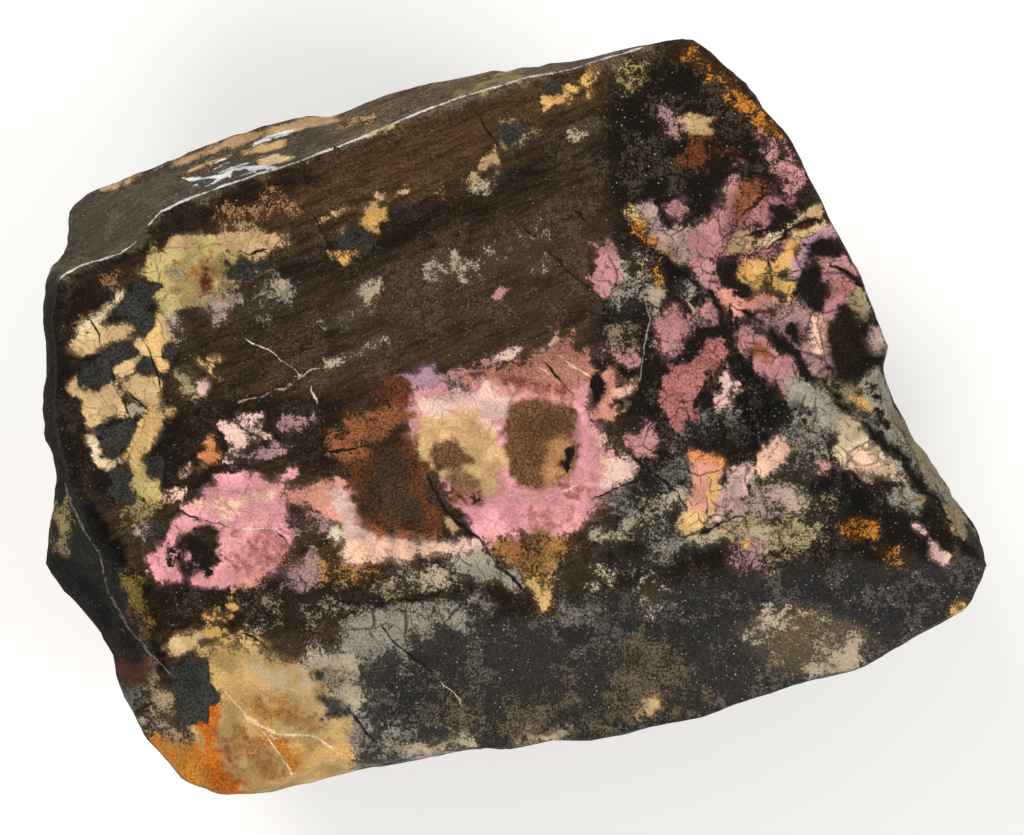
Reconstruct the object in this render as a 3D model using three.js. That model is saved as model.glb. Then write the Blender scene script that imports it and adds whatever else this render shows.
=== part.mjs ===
// A hand specimen of rhodonite: one natural stone, broken on all sides, with one face sawn and polished.
// The stone is drawn in the frame of its polished face (x to the right, y up the face, z out of it),
// then leaned back by the face's tilt and stood on its flat foot. Millimetres and degrees.
import * as THREE from "three";
import { ImprovedNoise } from "three/addons/math/ImprovedNoise.js";

// Driving dimensions
const FACE_TILT = 10; // the polished face leans this far towards the front
const FACE_HEIGHT = 30; // height of the face's own origin above the surface under the stone
const FOOT_SCALE = 0.97; // outline of the flat foot against the widest contour above it
const FOOT_SWEEP = 14; // points to each side over which the foot's outline is evened out
const BELLY = 1.6; // how long the sides stay full below the widest contour before they draw in

// Mesh
const POINTS_PER_STATION = 2;
const UPPER_RINGS = 10; // from the edge of the face down to the widest contour
const LOWER_RINGS = 10; // from there down to the foot

// Broken surface
const LUMP = { size: 21, height: 0.9 };
const SCAR = { size: 12.5, depth: 3.4 }; // hollows left by flakes, with ridges between them
const CHIP = { size: 5.2, depth: 1.3 };
const LEDGE = { size: 2.4, height: 0.9 }; // steps where the broken sides cut across the layers
const SHELF = { count: 3.4, height: 1.1 }; // steps on the long upper side, along the layers
const SHELF_FROM = 6; // depth of the upper side, down to the widest contour, at which the steps begin
const SHELF_FULL = 12; // and the depth at which they are at their full height
const RIM_BITE = 0.07; // share of the hollows that reaches the widest contour
const LAYER_RISE = 20; // the layers climb to the right across the face at this angle
const LAYER_DIP = 18; // and fall back into the stone at this one

// Stations round the rim, clockwise from the left end of the crest. Each row has a point on the edge of the
// polished face (x, y), the point of the widest contour beside it (x, y), how far below the face that
// contour lies, and how rounded the edge is, from 0 for a sharp arris to 1 for a full round.
const STATIONS = [
  [-44.8, 14.0, -46.6, 14.7, 5, 0.3],
  [-43.2, 15.2, -45.9, 15.9, 9, 0.1],
  [-41.5, 15.7, -45.5, 16.8, 12, 0],
  [-39.2, 16.4, -45.8, 19.2, 15, 0],
  [-37.7, 17.4, -45.4, 21.1, 16, 0],
  [-36.4, 19.0, -44.5, 22.6, 17, 0],
  [-35.2, 20.5, -42.7, 23.5, 17, 0],
  [-33.2, 21.4, -40.3, 24.5, 16.5, 0],
  [-31.2, 22.1, -37.7, 25.5, 16, 0],
  [-29.2, 22.9, -34.1, 26.8, 15.5, 0],
  [-27.2, 23.7, -30.5, 28.3, 15, 0],
  [-25.2, 24.2, -27.4, 29.3, 14.5, 0],
  [-23.2, 24.8, -24.6, 30.1, 14, 0],
  [-21.2, 25.5, -21.7, 30.7, 14, 0],
  [-18.2, 26.7, -18.6, 31.0, 13, 0],
  [-15.2, 27.8, -15.7, 32.0, 12, 0],
  [-12.2, 28.9, -12.6, 32.9, 11, 0],
  [-9.2, 30.4, -9.6, 33.6, 10, 0],
  [-6.2, 31.5, -6.5, 34.3, 9, 0],
  [-2.2, 32.7, -2.4, 35.1, 8, 0],
  [1.8, 33.9, 1.6, 35.4, 6, 0.1],
  [5.8, 34.6, 5.9, 35.9, 5, 0.2],
  [9.8, 35.9, 9.9, 36.7, 4, 0.4],
  [13.3, 36.9, 13.4, 37.4, 3.5, 0.6],
  [16.8, 37.5, 17.0, 37.9, 3, 0.8],
  [18.5, 37.0, 18.9, 37.3, 3, 0.8],
  [20.5, 35.3, 20.9, 35.6, 3, 0.7],
  [23.0, 33.1, 23.4, 33.4, 3, 0.6],
  [24.8, 30.7, 25.2, 30.9, 3, 0.6],
  [27.3, 27.9, 27.7, 28.2, 3, 0.6],
  [28.9, 24.7, 29.4, 24.9, 3, 0.6],
  [30.7, 21.0, 31.2, 21.2, 3, 0.6],
  [32.7, 17.0, 33.2, 17.3, 3, 0.6],
  [34.4, 13.9, 34.9, 14.0, 3, 0.6],
  [35.7, 10.7, 36.2, 10.8, 3, 0.5],
  [37.0, 7.3, 37.6, 7.1, 3, 0.5],
  [36.7, 5.6, 37.4, 5.2, 3.5, 0.3],
  [36.2, 3.0, 38.1, 2.6, 4, 0.2],
  [37.3, 0.3, 39.1, 0.6, 4.5, 0.2],
  [39.3, -2.9, 41.1, -3.2, 4.5, 0.2],
  [40.7, -5.7, 43.1, -5.8, 4.5, 0.2],
  [42.6, -8.3, 44.7, -8.5, 4.5, 0.2],
  [44.3, -11.3, 46.5, -11.2, 4, 0.3],
  [46.1, -13.3, 47.2, -13.6, 3.5, 0.5],
  [46.6, -14.9, 47.3, -14.7, 3, 0.7],
  [45.8, -17.3, 46.3, -17.3, 3, 0.8],
  [44.8, -18.8, 45.4, -19.0, 3, 0.8],
  [42.6, -20.1, 43.0, -20.5, 3, 0.6],
  [38.8, -22.2, 39.2, -22.6, 3, 0.6],
  [34.8, -24.7, 35.1, -25.1, 3, 0.6],
  [33.3, -25.1, 33.6, -25.6, 3, 0.5],
  [29.8, -25.9, 30.1, -26.4, 3, 0.5],
  [25.8, -27.2, 26.0, -27.7, 3, 0.5],
  [21.8, -28.5, 22.0, -29.0, 3, 0.5],
  [18.8, -29.7, 18.9, -30.2, 3, 0.5],
  [13.8, -30.6, 13.9, -31.1, 3, 0.5],
  [7.8, -31.9, 7.8, -32.5, 3, 0.5],
  [4.0, -32.0, 4.0, -32.5, 3, 0.5],
  [-0.2, -32.7, -0.2, -33.4, 3, 0.5],
  [-4.2, -32.7, -4.2, -33.3, 3, 0.5],
  [-8.2, -33.3, -8.2, -34.1, 3.5, 0.4],
  [-12.2, -34.0, -12.3, -34.8, 4, 0.3],
  [-15.7, -34.0, -15.8, -35.5, 4.5, 0.2],
  [-18.7, -34.3, -18.8, -36.3, 5, 0.2],
  [-21.2, -35.3, -21.4, -36.9, 5, 0.2],
  [-23.2, -36.4, -23.6, -37.4, 4.5, 0.3],
  [-25.7, -37.0, -25.9, -37.7, 4, 0.6],
  [-28.2, -37.1, -28.4, -37.7, 4, 0.9],
  [-30.9, -36.5, -31.4, -37.0, 3.5, 1],
  [-32.6, -35.7, -33.1, -36.1, 3.5, 1],
  [-34.2, -33.9, -34.7, -34.2, 3.5, 0.9],
  [-35.8, -31.9, -36.4, -32.3, 3.5, 0.8],
  [-37.3, -29.5, -37.9, -29.8, 3.5, 0.6],
  [-37.6, -27.7, -39.2, -27.9, 4, 0.5],
  [-36.4, -25.9, -39.9, -26.0, 5, 0.5],
  [-34.8, -24.3, -40.4, -24.0, 6, 0.5],
  [-35.0, -21.9, -41.7, -21.9, 6.5, 0.5],
  [-35.7, -19.5, -43.2, -20.1, 7, 0.5],
  [-36.6, -17.5, -44.7, -18.1, 7, 0.5],
  [-37.8, -15.6, -46.6, -15.8, 7, 0.5],
  [-39.7, -12.8, -47.1, -13.6, 6.5, 0.5],
  [-41.5, -9.6, -46.6, -10.5, 5.5, 0.6],
  [-43.0, -6.7, -46.0, -7.8, 4.5, 0.8],
  [-43.7, -4.1, -45.8, -5.3, 4, 1],
  [-44.3, -1.5, -46.7, -2.3, 4, 1],
  [-44.6, 1.8, -47.1, 0.8, 4, 1],
  [-44.6, 4.8, -46.8, 3.8, 4, 1],
  [-44.9, 7.3, -46.6, 6.3, 4, 1],
  [-45.2, 9.3, -47.0, 8.8, 4, 1],
  [-45.2, 11.8, -47.0, 11.5, 4, 0.7],
];

// Flat breaks that take corners off the lower sides: a point on the break, in the face's frame, and the
// way it looks outwards.
const BREAKS = [
  { at: [-41, -27, -12], facing: [-0.7, -0.56, -0.44] },
  { at: [-46, -10, -14], facing: [-0.92, -0.1, -0.37] },
  { at: [-2, -33, -10], facing: [0.12, -0.93, -0.35] },
  { at: [30, -26, -13], facing: [0.5, -0.74, -0.44] },
  { at: [45.5, -14, -11], facing: [0.88, -0.22, -0.42] },
  { at: [36.5, 10, -15], facing: [0.87, 0.3, -0.38] },
  { at: [22, 34, -18], facing: [0.6, 0.66, -0.45] },
  { at: [-44, 18, -24], facing: [-0.78, 0.42, -0.47] },
];

const noise = new ImprovedNoise();
const rad = THREE.MathUtils.degToRad;
const TILT = rad(FACE_TILT);
const LAYER_NORMAL = new THREE.Vector3(
  -Math.sin(rad(LAYER_RISE)) * Math.cos(rad(LAYER_DIP)),
  Math.cos(rad(LAYER_RISE)) * Math.cos(rad(LAYER_DIP)),
  Math.sin(rad(LAYER_DIP)),
);

// A closed smooth curve through one point of each station.
function contour(pick) {
  return new THREE.CatmullRomCurve3(STATIONS.map(pick), true, "centripetal");
}

// Depth below the face at which a line square to it meets the surface under the stone.
function footDepth(y) {
  return (FACE_HEIGHT + y * Math.sin(TILT)) / Math.cos(TILT);
}

// Rings of points from the edge of the face to the foot, before the surface is roughened.
function smoothRings() {
  const edge = contour(([x, y]) => new THREE.Vector3(x, y, 0));
  const waist = contour(([, , x, y, depth]) => new THREE.Vector3(x, y, -depth));
  const softness = contour(([, , , , , round], i) => new THREE.Vector3(i, round, 0));
  const count = STATIONS.length * POINTS_PER_STATION;
  const rings = Array.from({ length: UPPER_RINGS + LOWER_RINGS + 1 }, () => []);
  for (let i = 0; i < count; i++) {
    const a = edge.getPoint(i / count);
    const b = waist.getPoint(i / count);
    const round = THREE.MathUtils.clamp(softness.getPoint(i / count).y, 0, 1);
    for (let k = 0; k < UPPER_RINGS; k++) {
      const s = k / UPPER_RINGS;
      const out = THREE.MathUtils.lerp(s, Math.sin((s * Math.PI) / 2), round);
      const down = THREE.MathUtils.lerp(s, 1 - Math.cos((s * Math.PI) / 2), round);
      const flat = a.clone().lerp(b, out);
      rings[k].push(flat.setZ(b.z * down));
    }
    const foot = new THREE.Vector3();
    for (let j = i - FOOT_SWEEP; j <= i + FOOT_SWEEP; j++) foot.add(waist.getPoint(((j + count) / count) % 1));
    foot.multiplyScalar(FOOT_SCALE / (2 * FOOT_SWEEP + 1));
    foot.z = -footDepth(foot.y);
    for (let k = 0; k <= LOWER_RINGS; k++) {
      const s = k / LOWER_RINGS;
      const side = b.clone().lerp(foot, s ** BELLY);
      rings[UPPER_RINGS + k].push(side.setZ(THREE.MathUtils.lerp(b.z, foot.z, s)));
    }
  }
  return rings;
}

// Outward direction of the surface at point i of ring k.
function outward(rings, k, i) {
  const count = rings[k].length;
  const above = rings[Math.max(k - 1, 0)][i];
  const below = rings[Math.min(k + 1, rings.length - 1)][i];
  const before = rings[k][(i + count - 1) % count];
  const after = rings[k][(i + 1) % count];
  const down = below.clone().sub(above);
  return after.clone().sub(before).cross(down).normalize();
}

// A repeatable number from 0 to 1 for a cell of space.
function scatter(x, y, z, turn) {
  const wave = Math.sin(x * 127.1 + y * 311.7 + z * 74.7 + turn * 53.3) * 43758.5453;
  return wave - Math.floor(wave);
}

// Hollows round scattered points: 0 at the bottom of a hollow, up to 1 on the ridges between them.
function hollows(point, size) {
  const at = point.clone().divideScalar(size);
  const cell = at.clone().floor();
  const centre = new THREE.Vector3();
  let nearest = 1;
  for (let n = 0; n < 27; n++) {
    const x = cell.x + (n % 3) - 1;
    const y = cell.y + (Math.floor(n / 3) % 3) - 1;
    const z = cell.z + Math.floor(n / 9) - 1;
    centre.set(x + scatter(x, y, z, 1), y + scatter(x, y, z, 2), z + scatter(x, y, z, 3));
    nearest = Math.min(nearest, centre.distanceToSquared(at));
  }
  return nearest;
}

// Depth of the broken surface below the smooth one at a point.
function brokenDepth(point) {
  const { x, y, z } = point;
  const lump = LUMP.height * (0.5 + noise.noise(x / LUMP.size, y / LUMP.size, z / LUMP.size + 4));
  const scar = SCAR.depth * (1 - hollows(point, SCAR.size));
  const chip = CHIP.depth * (1 - hollows(point, CHIP.size));
  const layer = point.dot(LAYER_NORMAL) / LEDGE.size;
  const ledge = LEDGE.height * Math.abs(noise.noise(layer, x / 30, z / 14));
  return lump + scar + chip + ledge;
}

// Steps along the upper side: each shelf stands out at its upper edge and falls back to the next.
function shelfHeight(s, point) {
  const step = s * SHELF.count + 0.7 * noise.noise(point.x / 16, point.y / 16, 3);
  const height = 0.5 + noise.noise(point.x / 9, 7, point.y / 9);
  return SHELF.height * height * (0.5 - THREE.MathUtils.smootherstep(step - Math.floor(step), 0.1, 0.9));
}

// Moves a point level towards the middle of the stone, to this share of its distance.
function drawIn(point, share) {
  point.x *= share;
  point.y *= share;
}

// The same rings with flat breaks, hollows and ledges, leaving the face and the foot flat.
function brokenRings() {
  const smooth = smoothRings();
  const last = smooth.length - 1;
  const breaks = BREAKS.map(({ at, facing }) =>
    new THREE.Plane().setFromNormalAndCoplanarPoint(
      new THREE.Vector3(...facing).normalize(),
      new THREE.Vector3(...at),
    ),
  );
  return smooth.map((ring, k) =>
    ring.map((point, i) => {
      if (k === 0) return point;
      const moved = point.clone();
      const s = k / UPPER_RINGS;
      if (s < 1) {
        const waistDepth = -smooth[UPPER_RINGS][i].z;
        const shelf = THREE.MathUtils.smoothstep(waistDepth, SHELF_FROM, SHELF_FULL) * shelfHeight(s, point);
        return moved.addScaledVector(outward(smooth, k, i), shelf - RIM_BITE * s * brokenDepth(point));
      }
      for (const { normal, constant } of breaks) {
        const reach = -(constant + normal.z * moved.z) / (normal.x * moved.x + normal.y * moved.y);
        if (reach > 0) drawIn(moved, Math.min(reach, 1));
      }
      const bite = THREE.MathUtils.lerp(RIM_BITE, 1, THREE.MathUtils.smoothstep(k, UPPER_RINGS, last - 3));
      drawIn(moved, 1 - (bite * brokenDepth(point)) / Math.hypot(moved.x, moved.y));
      if (k === last) moved.z = -footDepth(moved.y);
      return moved;
    }),
  );
}

// One closed skin: the polished face, the broken sides and the flat foot.
function stoneGeometry() {
  const rings = brokenRings();
  const count = rings[0].length;
  const index = [];
  for (let k = 0; k + 1 < rings.length; k++) {
    for (let i = 0; i < count; i++) {
      const a = k * count + i;
      const b = k * count + ((i + 1) % count);
      index.push(a, b, a + count, b, b + count, a + count);
    }
  }
  const first = (rings.length - 1) * count;
  const flat = (ring) => ring.map(({ x, y }) => new THREE.Vector2(x, y));
  for (const [a, b, c] of THREE.ShapeUtils.triangulateShape(flat(rings[0]), [])) index.push(a, b, c);
  for (const [a, b, c] of THREE.ShapeUtils.triangulateShape(flat(rings.at(-1)), [])) {
    index.push(first + a, first + c, first + b);
  }
  const geometry = new THREE.BufferGeometry().setFromPoints(rings.flat());
  geometry.setIndex(index);
  geometry.rotateX(TILT);
  geometry.computeBoundingBox();
  const { min, max } = geometry.boundingBox;
  geometry.translate(-(min.x + max.x) / 2, -(min.y + max.y) / 2, -min.z);
  geometry.computeVertexNormals();
  return geometry;
}

const stone = new THREE.Mesh(
  stoneGeometry(),
  new THREE.MeshStandardMaterial({ color: 0x4a3a34, roughness: 0.45, metalness: 0 }),
);
stone.name = "rhodonite_stone";

const specimen = new THREE.Group();
specimen.add(stone);
export default specimen;
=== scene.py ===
import math

import bmesh
import bpy
import numpy as np
from mathutils import Matrix, Vector


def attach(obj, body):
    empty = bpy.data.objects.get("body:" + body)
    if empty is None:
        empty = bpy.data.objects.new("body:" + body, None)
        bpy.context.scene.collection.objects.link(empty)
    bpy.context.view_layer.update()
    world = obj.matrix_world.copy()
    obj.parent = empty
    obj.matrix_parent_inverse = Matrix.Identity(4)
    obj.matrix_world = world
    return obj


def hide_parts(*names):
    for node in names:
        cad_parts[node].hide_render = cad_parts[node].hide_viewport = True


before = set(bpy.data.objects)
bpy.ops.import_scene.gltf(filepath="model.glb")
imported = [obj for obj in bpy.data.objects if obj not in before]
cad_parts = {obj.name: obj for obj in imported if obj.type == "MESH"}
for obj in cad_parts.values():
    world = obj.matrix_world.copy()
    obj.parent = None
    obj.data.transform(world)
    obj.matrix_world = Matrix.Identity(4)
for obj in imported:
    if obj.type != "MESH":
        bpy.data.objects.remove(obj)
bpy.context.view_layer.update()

# The photograph's frame, and the polished face in it
PHOTO_WIDTH, PHOTO_HEIGHT = 1024, 835
PHOTO_MIDDLE = (PHOTO_WIDTH / 2, PHOTO_HEIGHT / 2)
PIXEL = 0.0000992  # one pixel on the polished face, in metres
FACE_TILT = math.radians(10)
FACE_LEFT_PX = 56.2  # column of the face's left edge
FACE_TOP_PX = 39.4  # row of the face's highest edge
LENS, SENSOR = 200.0, 36.0  # millimetres
CAMERA_DISTANCE = LENS / SENSOR * PHOTO_WIDTH * PIXEL

FACE_ACROSS = np.array((1.0, 0.0, 0.0))
FACE_UP = np.array((0.0, math.cos(FACE_TILT), math.sin(FACE_TILT)))
FACE_OUT = np.array((0.0, -math.sin(FACE_TILT), math.cos(FACE_TILT)))

MM = 1000.0  # millimetres in a metre
LAYER_RISE = math.radians(22)  # the layers climb to the right across the face

# Starts of the repeatable noises
SEEDS = {"ledges": 5, "chips": 21, "pits": 31, "breaks": 41, "edges": 61, "cloud": 91, "bend": 95}

# Colours of the minerals, as sRGB out of 255
TINTS = {
    "matrix": (50, 39, 27),
    "warm_brown": (68, 50, 31),
    "mid_brown": (58, 45, 32),
    "dark_brown": (32, 24, 16),
    "black": (24, 19, 14),
    "blue_black": (13, 13, 13),
    "speckled": (24, 19, 13),
    "band_grey": (46, 45, 43),
    "band_blue": (40, 40, 41),
    "band_brown": (82, 73, 59),
    "crust": (72, 64, 52),
    "crust_brown": (92, 78, 60),
    "tan_layer": (196, 162, 122),
    "beige_layer": (216, 188, 148),
    "yellow_layer": (206, 174, 118),
    # painted glint: light reflected off the smooth steps of the rough side
    "painted_glint": (226, 231, 238),
    "edge_glint": (196, 196, 196),
    "bevel": (8, 6, 4),
    "bevel_olive": (100, 84, 36),
    "rose": (226, 158, 166),
    "rose_deep": (160, 102, 100),
    "rose_pale": (218, 184, 176),
    "rose_dusty": (180, 129, 132),
    "rose_grey": (150, 118, 120),
    "salmon": (208, 146, 130),
    "peach": (226, 184, 162),
    "mauve": (146, 98, 102),
    "mauve_grey": (170, 148, 142),
    "lilac": (180, 142, 160),
    "orange_rose": (206, 136, 90),
    "cream": (210, 178, 132),
    "cream_pale": (212, 192, 158),
    "cream_gold": (214, 178, 120),
    "ochre": (206, 162, 98),
    "olive_yellow": (184, 166, 110),
    "olive": (142, 128, 84),
    "lichen": (144, 130, 100),
    "beige": (188, 157, 117),
    "beige_grey": (162, 150, 130),
    "pale": (206, 198, 180),
    "honey": (192, 156, 98),
    "honey_pale": (192, 160, 106),
    "honey_brown": (146, 106, 60),
    "amber": (170, 110, 44),
    "orange": (178, 96, 28),
    "rust_orange": (132, 82, 53),
    "rust": (88, 49, 29),
    "red_brown": (70, 38, 20),
    # painted sparkle: the bright dots that stand in for glints off tiny facets
    "grain": (190, 186, 176),
    "tan_grains": (130, 98, 70),
    "brown_rose": (168, 116, 100),
    "maroon": (128, 72, 66),
    "smoke": (128, 123, 113),
    "smoke_dark": (92, 90, 85),
    "smoke_pale": (154, 148, 134),
    "smoke_brown": (118, 106, 90),
    "eye_brown": (100, 70, 47),
    "eye_tan": (178, 131, 90),
    "eye_dark": (62, 48, 36),
    "gold_tan": (203, 168, 122),
    "charcoal": (50, 50, 47),
    "ink": (22, 19, 16),
}

# Markings read off the photograph: every outline and line is x,y points in its pixels

# Ground, painted softly: tint, feather in pixels, share of streaks, share of flecks, outline
GROUND = [
    ("warm_brown", 20, 1.0, 0.2,
     "160,225 300,172 420,122 540,84 600,72 600,110 520,130 470,165 400,195 320,215 230,228"),
    ("dark_brown", 12, 1.0, 0.2,
     "320,250 400,215 460,195 520,165 545,175 480,215 420,240 350,265 300,280 270,290 280,262"),
    ("mid_brown", 20, 0.8, 0.4,
     "400,262 480,235 560,190 600,200 600,290 560,320 470,330 380,330 340,320 350,285"),
    ("mid_brown", 12, 1.0, 0.4,
     "250,375 330,345 400,325 480,330 560,320 600,330 600,345 540,352 470,362 420,365 380,380 330,400 "
     "260,400"),
    ("dark_brown", 9, 1.0, 0.1,
     "66,280 120,256 160,215 300,165 330,172 260,200 200,232 150,250 120,270 80,315 62,330"),
    ("dark_brown", 14, 0.8, 0.3, "170,400 330,385 345,440 330,480 300,460 250,470 180,500 165,470"),
    ("speckled", 20, 0.3, 0.8, "596,120 625,60 690,45 760,110 740,180 690,225 640,235 605,210"),
    ("black", 16, 0.3, 0.7,
     "640,205 760,110 830,240 890,345 885,390 985,555 940,570 830,560 730,575 650,600 560,590 600,540 "
     "630,480 640,440 605,400 598,345 590,250 620,230"),
    ("blue_black", 10, 0.0, 0.8, "735,360 760,365 790,400 800,425 780,432 760,450 735,440 728,420"),
    ("blue_black", 8, 0.0, 0.6, "805,485 820,474 850,478 862,492 868,512 840,518 812,500"),
    ("blue_black", 5, 0.0, 0.5, "655,245 665,256 682,266 697,276 708,292 718,306 700,302 685,292 668,276"),
    ("black", 7, 0.9, 0.3,
     "30,262 66,285 62,330 70,380 75,440 90,500 130,570 160,640 165,668 110,650 30,560"),
    ("black", 7, 0.6, 0.3, "66,300 120,285 150,280 170,320 165,400 185,420 180,480 150,520 110,500 80,470"),
    ("dark_brown", 10, 0.7, 0.55,
     "140,588 300,578 420,562 480,580 560,600 640,590 720,565 720,590 600,620 480,632 350,612 260,640 "
     "200,632 165,640"),
    ("band_grey", 12, 0.0, 1.0,
     "330,650 420,630 520,615 640,592 732,578 828,562 990,556 1020,700 700,900 300,930 300,740"),
    ("band_blue", 16, 0.0, 1.0,
     "540,625 640,605 740,582 830,570 980,566 960,600 900,625 860,620 780,600 740,620 700,640 640,640 "
     "600,650"),
    ("band_blue", 16, 0.0, 1.0, "360,665 420,655 460,680 440,730 400,735 370,700"),
    ("band_brown", 14, 0.1, 0.7, "745,625 800,605 850,622 870,640 850,665 800,672 770,660 750,645"),
    ("bevel", 4, 0.7, 0.3, "65,485 100,520 150,600 168,662 165,672 118,668 60,600 30,555"),
    ("crust", 2.5, 0.5, 0.8,
     "30,272 64,279 97,262 135,245 160,214 240,182 330,152 420,115 530,80 640,51 640,20 480,20 300,60 "
     "30,150"),
    ("crust_brown", 5, 0.9, 0.5, "290,100 330,150 420,114 530,79 640,50 640,20 480,20 300,60"),
]

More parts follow.
